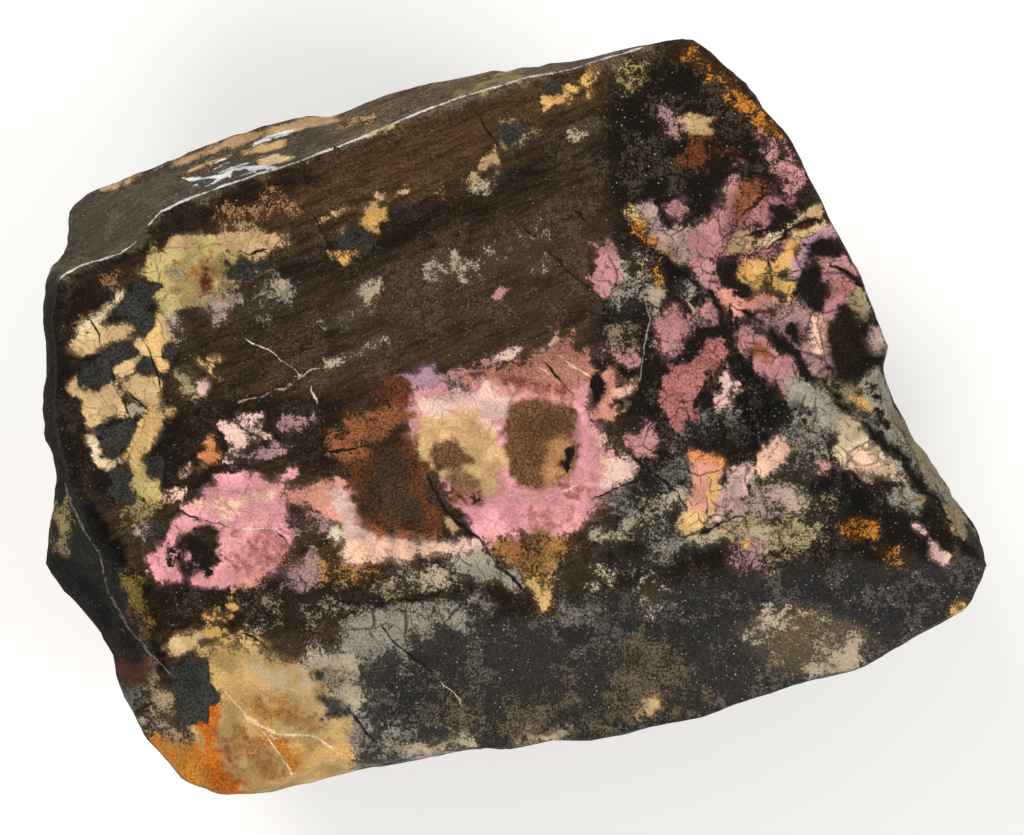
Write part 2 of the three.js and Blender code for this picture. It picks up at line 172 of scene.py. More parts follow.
# Patches with an edge: tint, softness and raggedness in pixels, strength, outline
PATCHES = [
    # Cream and olive fragments at the left
    ("cream_pale", 2.4, 3, 1, "73,338 82,324 95,312 112,299 126,289 122,299 112,312 106,320 96,327 84,332"),
    ("cream", 2.4, 3, 0.9, "70,348 82,337 100,327 116,322 133,322 137,330 128,340 112,342 95,352 80,357"),
    ("olive_yellow", 3.6, 6, 0.8,
     "134,284 142,274 150,266 160,254 172,246 182,238 200,238 214,242 228,248 236,258 232,266 226,262 "
     "228,290 216,300 200,305 186,306 168,312 156,320 158,306 150,300 148,294 162,284 152,280 142,278"),
    ("beige", 3.6, 4, 0.8,
     "150,262 160,252 178,240 196,234 214,238 220,232 232,230 252,230 262,230 266,236 278,236 286,234 "
     "280,241 270,247 260,254 256,262 240,256 226,248 206,240 186,244 168,252"),
    ("mauve_grey", 4.5, 4, 0.68, "206,300 222,292 234,294 240,304 228,308 226,316 216,324 210,316"),
    ("cream_gold", 3, 4, 1,
     "156,318 168,316 174,326 172,338 162,344 166,356 168,368 160,372 152,356 146,342 142,336 150,330"),
    ("cream", 2.4, 3, 0.9,
     "132,340 140,336 148,350 152,368 140,368 132,374 122,380 116,366 124,358 134,350"),
    ("cream", 2.4, 4, 0.9,
     "70,384 80,378 86,386 100,388 112,384 120,396 126,412 112,418 96,426 86,430 82,410 80,398"),
    ("cream", 2.4, 3, 0.9, "122,384 134,376 150,370 160,382 162,398 168,408 150,412 136,400 128,394"),
    ("smoke_pale", 3, 2, 0.75, "127,397 134,400 145,409 130,415"),
    ("cream_gold", 2.4, 4, 1,
     "137,424 146,413 160,408 170,412 164,426 158,440 148,452 136,464 122,452 130,440"),
    ("cream_pale", 2.4, 3, 1,
     "88,436 94,434 100,448 106,460 116,458 128,460 118,466 108,472 98,468 96,456"),
    ("olive_yellow", 3, 6, 0.8, "126,482 138,466 144,462 150,472 162,482 158,496 154,510 144,500 132,492"),
    ("olive", 3.8, 5, 0.6, "124,510 138,504 150,508 152,516 140,520 136,514"),
    ("lichen", 4.5, 4, 0.66, "178,374 188,370 192,380 194,394 184,394 180,384"),
    ("cream_gold", 2.4, 5, 1, "198,362 206,356 212,354 218,358 212,362 206,366 210,372 204,370"),
    ("rose_pale", 2.4, 2, 1, "198,380 208,380 211,388 204,398 198,390"),
    ("beige_grey", 6, 5, 0.37, "168,312 176,308 182,330 176,345 170,335"),
    ("tan_grains", 6, 5, 0.28, "218,216 240,212 262,208 268,216 245,222 222,222"),
    ("tan_grains", 6, 5, 0.25, "262,196 275,190 285,204 300,210 285,216 270,208"),
    ("tan_grains", 5, 5, 0.42, "106,278 116,270 122,278 112,284"),
    ("tan_grains", 5, 4, 0.36, "76,320 84,312 90,316 80,326"),
    # Fragments in the upper band
    ("ochre", 2.4, 6, 0.78,
     "354,222 362,212 376,206 388,208 390,216 396,222 384,226 372,226 366,234 360,226"),
    ("lichen", 3.8, 5, 0.59, "338,230 346,228 352,234 344,240"),
    ("ochre", 3, 5, 0.62, "330,255 350,250 366,244 360,254 345,260"),
    ("beige", 2.4, 4, 0.72,
     "318,224 332,212 350,206 372,200 392,194 408,188 406,193 388,200 366,206 345,212"),
    ("beige", 2.4, 5, 0.8, "462,180 474,172 484,162 490,152 494,144 500,154 500,164 488,168 476,176"),
    ("beige_grey", 3.8, 5, 0.3, "472,190 486,182 500,174 498,182 484,190"),
    ("tan_grains", 6, 4, 0.3, "440,196 456,188 460,194 446,202"),
    ("lichen", 4.5, 6, 0.46, "502,124 512,118 520,122 514,132 524,136 532,132 520,142 508,150 500,148"),
    ("ochre", 2.4, 6, 0.5, "540,102 548,96 556,98 562,88 566,84 570,92 566,100 556,104 545,108"),
    ("ochre", 2.4, 5, 0.48, "580,82 586,74 590,66 593,76 594,100 587,102 586,88"),
    ("olive", 4.5, 6, 0.22, "622,78 632,68 636,76 638,88 628,88"),
    ("beige_grey", 4.5, 5, 0.34, "568,136 580,126 596,120 590,130 578,140"),
    ("beige_grey", 7, 5, 0.5, "430,276 440,262 456,260 466,266 464,276 446,274"),
    ("beige_grey", 5, 4, 0.6, "361,293 367,284 379,284 378,293 370,296"),
    ("beige_grey", 7, 5, 0.42, "336,324 346,312 362,304 362,314 350,324"),
    ("beige_grey", 10.5, 8, 0.25, "500,250 520,240 540,236 545,250 520,260 490,268 485,262"),
    ("rose_dusty", 2.4, 3, 0.62, "491,297 498,290 510,288 504,293 494,299"),
    ("smoke", 7.5, 7, 0.31, "240,300 262,290 290,288 285,302 255,312"),
    ("beige_grey", 3.8, 3, 0.37, "325,366 348,354 372,342 386,338 372,348 350,360"),
    ("rose_pale", 2.4, 3, 0.55, "492,358 510,350 528,346 520,353 502,360"),
    ("rose_pale", 2.4, 3, 0.8, "534,352 545,344 558,338 552,347 540,353"),
    # The pink lens at the left
    ("rose", 2.4, 4, 1,
     "182,509 196,500 204,498 206,490 214,484 228,474 244,472 262,474 270,480 282,478 290,468 297,468 "
     "290,478 285,484 288,498 290,512 280,526 262,530 245,530 232,526 214,522 198,519"),
    ("rose", 2.4, 4, 1,
     "222,530 240,531 262,532 278,531 288,531 291,540 286,547 283,550 281,560 274,572 258,580 230,583 "
     "205,584 192,580 204,574 216,566 224,562 218,552"),
    ("rose", 2.4, 4, 1,
     "172,523 182,510 200,520 210,522 198,526 188,532 180,532 176,545 181,552 176,560 180,572 184,584 "
     "171,582 157,572 148,558 154,550 165,538"),
    ("rose_dusty", 3, 4, 0.7, "188,558 196,554 202,562 196,570 190,566"),
    ("salmon", 3.6, 5, 1,
     "288,492 304,484 320,482 326,478 340,476 352,480 362,492 358,512 360,530 352,536 340,524 330,516 "
     "320,508 305,506 292,502"),
    ("rose_pale", 3, 4, 1,
     "326,490 340,486 352,498 358,518 362,530 390,536 420,540 440,541 462,538 478,545 462,552 430,552 "
     "400,556 376,558 352,562 344,550 338,536 342,522 334,512"),
    ("rose_grey", 6, 6, 0.4, "290,520 310,514 325,516 318,526 300,532 292,528"),
    ("pale", 2.4, 4, 0.35, "330,528 338,526 342,536 352,546 346,550 338,542"),
    ("rose_pale", 2.4, 4, 0.44,
     "220,422 230,420 240,412 250,412 262,416 264,424 258,430 268,436 260,442 248,446 236,452 228,460 "
     "222,460 232,450 226,440 222,432"),
    ("rose_grey", 3.8, 4, 0.53, "275,424 285,418 296,424 306,418 312,416 308,424 298,430 284,432"),
    ("rose_grey", 4.5, 4, 0.46, "230,458 252,450 275,446 297,441 290,448 268,456 244,462"),
    ("peach", 2.4, 4, 0.48, "178,478 190,468 205,462 210,464 196,472 184,480"),
    ("peach", 2.4, 4, 0.42, "164,498 176,492 186,486 182,494 172,500"),
    ("mauve_grey", 4.5, 5, 0.45, "138,530 146,520 150,538 144,548"),
    # The main lens
    ("rose", 3, 5, 1,
     "408,420 412,404 420,392 436,386 455,380 470,372 486,376 505,372 530,374 545,362 560,356 568,346 "
     "572,356 588,360 594,366 592,384 588,402 594,420 601,436 607,452 618,458 629,465 626,477 610,490 "
     "598,502 588,512 576,524 556,530 532,534 506,535 492,539 480,533 468,519 452,500 440,480 428,470 "
     "418,450 410,436"),
    ("lilac", 3, 4, 0.85,
     "388,386 402,379 416,370 424,362 438,362 436,372 448,380 432,384 414,392 402,399 394,394"),
    ("rose_dusty", 3.6, 6, 0.48, "448,382 462,372 478,368 500,366 490,380 470,392 455,392"),
    # Pinks and greys right of the lens
    ("rose_grey", 3.8, 5, 0.59, "612,340 626,340 640,350 630,352 618,347"),
    ("rose_grey", 3.8, 4, 0.53, "602,347 612,343 612,352 604,354"),
    ("rose_dusty", 3, 5, 0.7, "620,353 634,351 640,362 630,367"),
    ("salmon", 3, 6, 0.85, "602,374 614,369 622,380 618,394 604,400 600,388"),
    ("peach", 3, 5, 0.85, "618,398 622,388 634,380 636,386 628,396"),
    ("salmon", 3.6, 6, 0.77, "594,404 604,402 612,412 604,424 594,418"),
    ("rose_dusty", 2.4, 5, 0.78,
     "597,247 606,243 618,247 621,260 618,272 622,281 608,286 605,296 598,291 593,283 596,268"),
    ("beige_grey", 7, 7, 0.22, "620,263 632,258 642,260 640,274 626,278"),
    ("smoke", 8, 8, 0.3, "606,288 630,280 652,280 655,292 640,302 615,300"),
    ("mauve_grey", 3.8, 5, 0.62,
     "641,209 649,206 656,216 664,226 680,229 697,226 704,240 694,258 684,262 672,257 662,248 654,236 "
     "648,222"),
    ("rose_dusty", 3.6, 5, 0.78,
     "686,230 700,226 712,219 720,206 723,190 726,178 734,175 740,184 742,200 740,214 756,208 768,202 "
     "778,195 785,193 783,199 774,207 760,215 748,223 736,231 726,240 720,254 712,260 715,274 720,286 "
     "712,288 700,274 688,264 690,250"),
    ("mauve", 6, 6, 0.58,
     "736,214 752,212 772,204 785,198 790,204 780,212 765,222 745,230 736,234 728,256 748,252 772,244 "
     "796,238 790,246 770,254 742,260 724,258"),
    ("rose_dusty", 3.6, 6, 0.7, "664,210 676,204 684,210 678,216 668,218"),
    ("rust", 8, 8, 0.42, "690,150 702,140 716,144 722,156 706,166 694,164"),
    ("beige", 3.6, 5, 0.72, "686,121 696,113 706,117 711,129 701,134 690,133"),
    ("rose_grey", 6, 6, 0.4, "660,116 670,118 682,134 674,138 664,128"),
    ("rose_dusty", 3.6, 5, 0.38, "758,138 768,134 782,142 794,153 780,154 770,156"),
    ("rose_dusty", 3.6, 5, 0.36, "776,166 788,158 800,166 806,178 796,186 784,192 780,182"),
    ("beige", 2.4, 4, 0.8, "728,254 732,243 740,234 748,232 746,244 738,251"),
    ("beige", 2.4, 4, 0.8, "742,236 752,228 762,226 762,232 752,239"),
    ("beige", 2.4, 3, 0.8, "742,250 756,243 768,237 766,242 752,249"),
    ("cream_pale", 2.4, 3, 0.58, "767,242 776,234 790,224 804,216 818,206 816,211 802,221 788,231 774,242"),
    ("cream", 2.4, 4, 0.9, "790,238 804,231 816,224 828,219 827,227 812,233 798,239"),
    ("beige", 3, 4, 0.8, "800,216 808,208 819,202 821,210 810,217"),
    ("ochre", 3, 4, 0.95, "734,277 738,263 748,258 760,259 772,262 768,278 762,288 752,290 744,284"),
    ("ochre", 3, 5, 0.78, "772,262 782,250 792,241 797,250 796,280 790,293 776,296 766,288 770,276"),
    ("salmon", 3.6, 5, 0.85,
     "716,292 730,289 746,297 762,293 776,296 778,300 772,309 754,312 736,317 728,309"),
    ("lilac", 3.6, 4, 0.85,
     "794,282 792,262 796,248 806,240 820,231 832,227 835,234 818,241 809,247 804,258 801,276"),
    ("rose_dusty", 3, 5, 0.78,
     "812,258 828,256 850,258 856,268 858,277 850,270 842,266 836,270 846,278 853,286 850,294 842,302 "
     "838,314 832,324 827,337 825,352 821,357 817,350 813,335 813,322 818,312 827,300 832,292 828,282 "
     "820,272"),
    ("rose_grey", 9, 9, 0.85,
     "752,312 780,305 800,302 814,316 813,340 820,358 830,372 818,372 805,360 795,345 780,330 765,322"),
    ("rose_dusty", 3.6, 6, 0.78,
     "655,328 660,312 668,303 676,301 684,317 694,315 692,324 684,336 678,350 664,358 652,354 658,344"),
    ("rose_dusty", 3.6, 5, 0.78, "700,310 710,304 718,309 723,320 715,327 703,323"),
    ("smoke", 7.5, 6, 0.43, "683,284 692,278 701,282 692,289"),
    ("rose_dusty", 3, 6, 0.78,
     "741,333 752,328 761,336 764,349 776,352 785,362 789,378 794,392 786,399 775,386 765,376 757,362 "
     "751,352 745,343"),
    ("rose_deep", 3, 6, 0.74,
     "662,403 664,386 672,376 685,365 700,352 710,338 717,338 726,350 732,353 722,361 714,369 708,381 "
     "700,389 697,401 692,416 688,408 684,401 684,413 680,427 672,421 664,409"),
    ("rose_pale", 2.4, 6, 1, "711,400 717,388 722,378 726,372 728,386 730,394 725,404 718,409"),
    ("smoke_dark", 9, 9, 0.46, "690,420 705,412 722,412 712,428 695,432"),
    ("rose_dusty", 3.6, 5, 0.78, "632,441 640,430 645,420 652,428 659,441 654,453 650,459 641,452"),
    ("beige_grey", 12, 12, 0.53, "755,482 780,476 800,484 800,500 780,512 758,516 742,505"),
    ("smoke", 10.5, 12, 0.6, "786,428 806,424 820,440 822,458 802,462 790,446"),
    ("rose_dusty", 3.6, 4, 0.78, "811,462 822,459 834,466 821,472"),
    ("smoke_pale", 7.5, 7, 0.75,
     "786,386 804,381 820,387 832,398 850,412 863,426 873,439 856,432 838,430 824,426 814,412 800,404"),
    ("cream_pale", 4, 6, 1,
     "834,450 836,436 846,420 860,426 873,439 884,452 896,466 901,478 886,474 870,475 850,471 840,463"),
    ("lichen", 6, 7, 0.66,
     "826,382 838,387 852,390 864,395 878,404 892,414 912,432 900,436 882,422 866,413 850,406 838,399 "
     "830,391"),
    ("smoke", 7.5, 8, 0.62, "870,426 890,425 906,440 919,455 932,466 922,476 906,463 890,449 878,439"),
    ("smoke", 6, 6, 0.56, "887,497 899,488 909,490 917,500 908,507 894,504"),
    ("olive", 4.5, 6, 0.48, "914,499 922,494 929,502 918,506"),
    ("beige_grey", 7.5, 7, 0.75, "918,472 936,465 950,482 960,500 945,500 928,486"),
    ("lichen", 5, 8, 0.62, "892,408 904,416 918,440 932,462 944,478 936,478 920,456 904,436 890,420"),
    ("lichen", 5, 8, 0.6, "932,500 946,498 962,516 972,534 962,532 946,514"),
    ("lichen", 3.8, 6, 0.66, "846,301 850,293 858,289 866,298 872,312 870,322 858,319 850,311"),
    ("smoke_pale", 3, 6, 0.95, "862,377 874,374 886,380 891,396 894,412 888,424 877,420 868,404 862,390"),
    ("mauve_grey", 3, 5, 1, "864,337 871,326 880,329 888,342 886,354 876,359 868,350"),
    ("amber", 4.5, 6, 0.48, "849,523 858,519 862,528 870,525 873,535 860,538 852,535"),
    ("amber", 6, 6, 0.26, "886,549 897,549 906,556 900,562 890,559"),
    ("rose_pale", 2.4, 3, 1, "930,540 936,543 941,552 950,557 948,565 942,569 936,560 933,550"),
    ("rose_pale", 2.4, 3, 0.8, "916,526 921,526 924,533 918,531"),
    ("lichen", 9, 10, 0.35,
     "768,530 782,514 800,507 816,503 830,507 828,520 812,532 798,540 788,548 770,549 760,542"),
    ("olive", 6, 8, 0.48, "739,522 754,516 774,518 770,531 752,531"),
    ("beige_grey", 7.5, 8, 0.47, "682,542 700,531 725,524 746,525 764,533 746,541 720,541 700,547"),
    ("rose_grey", 7.5, 8, 0.53, "738,552 748,540 760,542 760,560 750,566 740,562"),
    ("smoke_dark", 10.5, 10, 0.56, "598,498 612,488 634,484 628,500 606,512"),
    ("smoke", 10.5, 10, 0.46, "618,516 640,504 658,515 656,532 636,534"),
    ("smoke_dark", 10.5, 9, 0.53, "658,474 676,464 692,466 692,482 672,486"),
    ("beige_grey", 9, 9, 0.43, "658,502 680,498 684,514 668,518"),
    ("beige_grey", 9, 9, 0.4, "600,538 620,528 634,530 628,544 606,550"),
    ("smoke", 9, 9, 0.5, "655,545 668,535 682,540 676,556 662,556"),
    ("salmon", 2.5, 5, 0.95,
     "691,457 705,456 725,460 723,476 717,491 711,506 702,513 686,513 690,498 694,481 689,470"),
    ("cream_gold", 3, 6, 0.8, "682,516 700,507 712,508 712,520 702,530 686,530"),
    ("rose_pale", 3, 6, 0.9,
     "719,490 732,474 748,465 760,468 754,482 744,495 734,508 722,518 712,514 716,500"),
    ("peach", 3, 5, 0.85, "765,472 764,460 771,446 776,434 785,437 790,448 783,459 775,471"),
    ("mauve_grey", 6, 7, 0.55, "738,508 752,496 768,490 784,487 796,494 786,504 766,509 750,514"),
    ("smoke_brown", 6, 8, 0.42, "600,330 622,322 640,326 634,336 612,342"),
    ("beige_grey", 5, 8, 0.45, "650,505 668,496 680,484 688,492 676,508 660,518"),
    ("smoke_pale", 5, 9, 0.45, "880,452 896,458 912,474 924,488 912,490 896,474"),
    ("beige_grey", 4, 6, 0.6, "648,292 660,290 666,304 660,316 650,312"),
    ("beige_grey", 4, 5, 0.55, "262,284 274,276 284,282 282,294 268,298"),
    ("beige_grey", 6, 9, 0.22, "560,572 590,560 620,556 650,556 640,566 600,576 570,584"),
    ("smoke_brown", 7, 9, 0.27, "262,606 300,596 340,596 372,604 340,616 290,622"),
    # Ochre edge at the upper right
    ("amber", 4.5, 5, 0.4, "686,54 702,53 706,60 720,69 708,72 694,62"),
    ("amber", 3, 5, 0.34, "722,84 734,86 742,94 730,96"),
    ("amber", 3, 5, 0.34, "732,105 744,101 756,108 748,113 738,111"),
    ("amber", 3, 5, 0.34, "746,119 757,116 770,121 784,136 770,133 756,124"),
    # Under the lens
    ("honey_brown", 8, 8, 0.55,
     "490,548 512,538 535,534 560,533 570,540 560,556 550,572 544,602 530,584 512,562"),
    ("smoke_pale", 4, 5, 0.7, "446,562 462,556 480,550 496,562 514,576 526,588 500,582 480,576 460,570"),
    ("beige_grey", 7, 7, 0.38, "392,576 404,570 424,570 440,570 460,580 440,592 420,594 404,588 398,582"),
    ("smoke", 7.5, 7, 0.62,
     "380,612 400,606 430,602 455,599 478,604 490,614 470,622 445,626 420,634 400,640 384,626"),
    ("smoke", 5, 9, 0.4, "400,608 424,602 450,599 478,603 488,612 470,620 440,624 412,624"),
    ("lichen", 6, 7, 0.53, "376,592 386,588 400,590 404,600 386,604"),
    ("honey_brown", 7.5, 7, 0.34, "322,556 336,548 348,560 376,562 384,568 360,578 340,576 326,570"),
    ("rose_grey", 7.5, 7, 0.66, "288,572 300,562 310,560 318,572 320,588 304,592 292,586"),
    ("smoke", 10.5, 11, 0.52, "336,640 352,622 368,612 384,622 396,640 402,652 388,664 366,668 344,660"),
    ("beige_grey", 8, 11, 0.57, "318,660 330,648 350,650 368,664 362,690 360,704 340,706 326,690"),
    ("smoke", 10.5, 10, 0.56, "340,720 362,730 372,752 352,760 338,752"),
    ("smoke", 10.5, 10, 0.56, "372,742 390,730 410,735 408,752 385,760"),
    ("beige_grey", 7.5, 9, 0.56, "412,752 430,742 452,736 470,744 452,750 430,757"),
    ("beige_grey", 7.5, 9, 0.75, "530,740 545,725 560,716 566,728 556,740"),
    ("smoke_dark", 9, 9, 0.5, "556,604 566,592 580,600 590,612 570,620"),
    ("beige_grey", 9, 10, 0.32, "640,590 652,580 660,594 650,602"),
    ("band_brown", 8, 12, 0.43, "625,645 680,640 690,700 660,720 625,715 615,680"),
    ("band_brown", 8, 12, 0.38, "500,700 560,690 610,700 600,735 540,740 500,735"),
    ("band_brown", 8, 12, 0.3, "420,690 450,676 478,690 486,715 460,728 430,720"),
    ("beige_grey", 6, 10, 0.32, "748,636 764,624 776,618 790,624 800,630 796,644 780,654 776,640 762,640"),
    ("beige", 6, 9, 0.32, "790,622 806,618 806,634 820,640 812,650 798,646 784,650 790,636"),
    ("beige_grey", 4.8, 8, 0.42, "820,640 836,632 858,631 856,646 840,652 826,648"),
    ("beige_grey", 7.5, 8, 0.56, "800,668 820,656 846,652 862,660 850,670 820,676"),
    ("beige", 6, 7, 0.45, "636,712 645,704 660,706 652,720"),
    ("ochre", 4, 6, 0.45, "950,610 956,604 964,604 960,612"),
    # Honey quartz at the lower left
    ("honey_pale", 6, 6, 1,
     "200,650 222,642 250,643 272,651 288,662 316,664 330,690 330,712 350,726 352,758 345,800 300,830 "
     "255,840 200,830 150,770 160,738 190,744 206,716 222,700 204,672"),
    ("cream", 2.4, 3, 1, "164,646 172,636 190,631 210,627 214,633 200,642 194,651 178,658 169,654"),
    ("ochre", 3, 8, 0.7, "206,628 214,616 222,612 232,604 238,608 228,616 218,628"),
    ("lichen", 4.5, 4, 0.66, "152,702 158,690 168,692 174,706 178,716 168,716 160,710"),
    ("lichen", 4.5, 4, 0.66, "140,668 150,664 154,676 148,682"),
    ("smoke_dark", 7.5, 6, 0.5, "122,690 132,676 140,690 148,704 138,712 126,704"),
    ("beige_grey", 6, 6, 0.56, "140,720 156,712 176,726 190,738 182,746 160,734"),
    ("olive", 6, 6, 0.48, "52,516 62,512 68,530 60,532"),
    ("lichen", 4.5, 4, 0.59, "50,536 58,540 62,552 54,552"),
]

# Layers on the rough side above the crest
STRIP = [
    ("tan_layer", 2.5, 2, 1,
     "100,189 140,174 200,153 240,135 300,119 340,110 338,124 300,128 282,132 250,141 215,151 180,166 "
     "150,172 112,190"),
    ("yellow_layer", 2.5, 2, 0.7,
     "184,172 206,163 226,156 250,149 284,139 286,146 252,153 226,159 204,167"),
    ("beige_layer", 2.5, 2, 0.9, "250,169 262,157 278,152 282,158 298,153 282,163 262,169"),
    ("tan_layer", 4, 5, 0.35, "330,129 350,122 375,114 376,119 352,127 334,134"),
    ("yellow_layer", 2.5, 2, 0.6, "362,136 380,128 396,120 394,126 380,132 366,140"),
    ("olive", 3, 5, 0.55, "455,96 480,84 505,76 525,74 522,82 500,84 478,92"),
]

# Details inside the patches
INNER = [
    ("peach", 7, 8, 0.55, "205,506 230,500 255,496 275,486 286,486 280,496 250,508 225,514"),
    ("rose_deep", 7.2, 9, 0.4, "240,545 268,540 280,556 268,572 245,576 228,574 236,560"),
    ("salmon", 4.8, 5, 0.68, "240,580 255,574 268,566 262,580 248,584"),
    ("peach", 4, 4, 0.6, "262,498 272,490 282,486 278,496 266,502"),
    ("honey_brown", 5, 8, 0.95,
     "190,262 206,258 218,264 222,276 214,292 206,296 196,288 204,276 192,276 182,290 178,284"),
    ("rust", 4, 5, 0.7, "200,274 208,268 213,278 206,296 200,288 196,284"),
    ("lichen", 6, 7, 0.53, "170,266 186,258 190,268 184,284 172,280"),
    ("lichen", 6, 6, 0.59, "186,300 200,296 214,290 222,284 226,278 228,292 212,300 196,306"),
    ("orange_rose", 3, 4, 1, "196,456 204,448 212,438 217,442 219,452 226,454 218,462 206,464"),
    ("brown_rose", 6, 8, 0.66,
     "470,372 490,366 515,362 540,352 566,344 590,356 594,372 588,386 566,394 540,392 515,390 490,384"),
    ("maroon", 5, 6, 0.7, "500,378 520,374 545,380 562,390 545,394 515,388"),
    ("rose_pale", 4.8, 7, 0.9,
     "420,402 440,394 470,398 486,382 498,384 502,410 490,424 470,412 450,420 430,416"),
    ("rose_deep", 7.2, 8, 0.35, "560,480 585,470 592,490 560,512 520,520 500,505 540,505"),
    ("peach", 6, 6, 0.68, "595,432 604,444 609,458 601,464 597,448"),
    ("rose_pale", 4.8, 6, 0.9, "607,467 619,462 628,468 622,478 606,488 597,496 602,480"),
    ("gold_tan", 4, 5, 0.95,
     "414,432 428,421 446,414 462,410 476,416 486,428 496,442 505,456 504,474 496,488 484,494 470,484 "
     "452,478 438,476 428,476 421,458"),
    ("eye_brown", 4, 4, 0.9,
     "429,454 435,444 447,440 459,442 468,450 475,461 466,467 452,469 440,467 432,462"),
    ("tan_grains", 4, 6, 0.75, "436,474 452,469 470,471 482,482 479,494 466,497 452,489 441,483"),
    ("rust_orange", 4, 5, 0.55, "452,490 462,486 474,494 478,502 466,506 456,500"),
    ("eye_brown", 4, 3, 1,
     "506,412 514,402 528,399 546,400 562,404 572,412 577,426 579,444 577,460 570,474 560,484 546,491 "
     "530,494 518,487 510,470 506,450 505,428"),
    ("eye_tan", 6, 4, 0.85, "550,446 562,439 574,442 576,458 569,472 559,482 546,484 542,472 545,458"),
    ("peach", 3.5, 4, 1,
     "344,541 362,537 390,541 420,543 445,543 458,542 463,547 452,551 430,553 400,556 372,558 352,558"),
    ("salmon", 6, 6, 0.4, "516,484 540,494 556,488 550,498 530,502"),
    ("eye_dark", 4, 5, 1,
     "350,474 358,456 372,446 392,441 408,444 416,456 421,468 428,486 437,506 444,524 440,533 418,532 "
     "392,529 370,522 356,506"),
    ("rust", 6, 6, 0.52,
     "404,436 414,440 420,458 428,478 436,500 446,524 446,538 430,536 424,514 414,490 408,466 402,448"),
    ("rust", 7, 7, 0.5, "354,452 368,446 370,470 362,496 352,480"),
    ("rust", 6, 7, 0.45, "372,512 390,518 412,524 424,532 400,530 376,524"),
    ("rust_orange", 5, 6, 0.7, "346,424 362,416 382,412 398,412 406,418 396,428 380,438 364,444 352,438"),
    ("rust", 5, 6, 0.7, "372,396 384,386 398,382 411,390 419,402 413,412 400,410 386,402"),
    ("rust_orange", 6, 6, 0.5, "330,436 350,440 364,448 350,460 338,462"),
    ("rust_orange", 3, 4, 0.7, "366,527 388,533 412,536 436,532 446,535 436,541 408,540 384,537"),
    ("rust_orange", 6, 5, 0.72, "740,184 754,184 764,189 758,200 744,213 735,222 731,214 735,200"),
    ("honey_brown", 4.5, 5, 0.68, "664,248 678,250 684,262 672,259"),
    ("amber", 4.5, 4, 0.34, "633,224 643,219 650,232 658,245 642,237 634,234"),
    ("olive_yellow", 3, 5, 0.38, "627,208 640,211 646,222 638,224 630,215"),
    ("amber", 4.5, 4, 0.3, "657,276 662,271 665,277 660,281"),
    ("red_brown", 3.6, 4, 1, "793,227 802,221 810,219 806,230 797,232"),
    ("peach", 3.6, 4, 0.85, "813,318 819,314 818,334 824,352 818,352 813,338"),
    ("red_brown", 4.8, 5, 1, "820,286 830,286 833,294 826,303 818,308"),
    ("rose_deep", 4.8, 5, 0.8, "836,282 848,286 846,294 836,297"),
    ("dark_brown", 8, 8, 0.95,
     "828,342 834,326 842,311 850,313 860,323 868,331 863,346 862,356 855,366 848,373 835,373 830,361"),
    ("rust_orange", 6, 4, 0.58, "757,343 764,346 765,355 758,352"),
    ("orange_rose", 3.6, 4, 0.9, "692,454 708,456 726,458 724,463 706,462 693,460"),
    ("ochre", 3.6, 5, 0.7, "714,474 721,464 720,478 713,496 708,502 710,488"),
    ("rose_grey", 6, 7, 0.53, "724,490 736,478 746,474 738,490 726,506 719,508"),
    ("peach", 7.2, 8, 0.68, "846,464 862,458 880,466 884,473 866,473 852,470"),
    ("beige_grey", 9, 8, 0.43, "840,424 852,418 864,430 850,436"),
    ("ochre", 4.8, 6, 0.55, "850,398 862,396 872,406 862,408"),
    ("ochre", 4.8, 6, 0.62, "728,524 742,524 746,530 732,532"),
    ("honey_pale", 4.8, 6, 0.55, "524,578 536,580 548,588 546,607 536,594"),
    ("rust_orange", 6, 6, 0.4, "510,548 530,540 545,545 530,560"),
    # Colours inside the honey quartz
    ("honey", 12, 10, 0.8, "215,650 245,640 265,660 255,690 285,700 260,715 235,712 222,690"),
    ("beige_grey", 21, 10, 0.31, "250,645 290,662 312,672 330,700 300,700 270,690 245,668"),
    ("honey_brown", 13.5, 9, 0.56, "258,704 290,705 320,712 315,735 285,730 262,722"),
    ("orange", 4.8, 6, 1,
     "203,712 216,702 224,706 214,728 216,744 228,768 246,786 252,800 200,820 175,775 196,756 206,738"),
    ("amber", 9, 6, 0.59, "160,736 176,744 200,750 210,762 205,800 180,790 158,752"),
    ("honey_brown", 9, 6, 0.64, "226,716 245,725 262,738 280,765 290,778 262,790 248,770 236,745"),
    ("amber", 4.5, 4, 0.95, "266,736 284,738 298,752 302,766 293,776 280,757"),
    ("rust_orange", 6, 5, 0.58, "214,732 226,734 236,752 246,776 238,784 224,766"),
    ("honey", 9.6, 8, 0.8, "290,738 320,742 345,745 340,762 310,762 298,750"),
    ("honey_pale", 3, 5, 1, "246,790 264,783 286,778 304,768 330,757 340,757 330,764 300,780 262,792"),
    ("bevel_olive", 4.8, 5, 0.9, "122,578 136,578 148,602 158,640 150,636 132,608"),
    ("rust", 4.8, 5, 0.7, "128,612 140,622 146,634 136,628"),
    ("red_brown", 6, 6, 0.9, "116,664 140,656 146,668 134,682 120,682"),
]

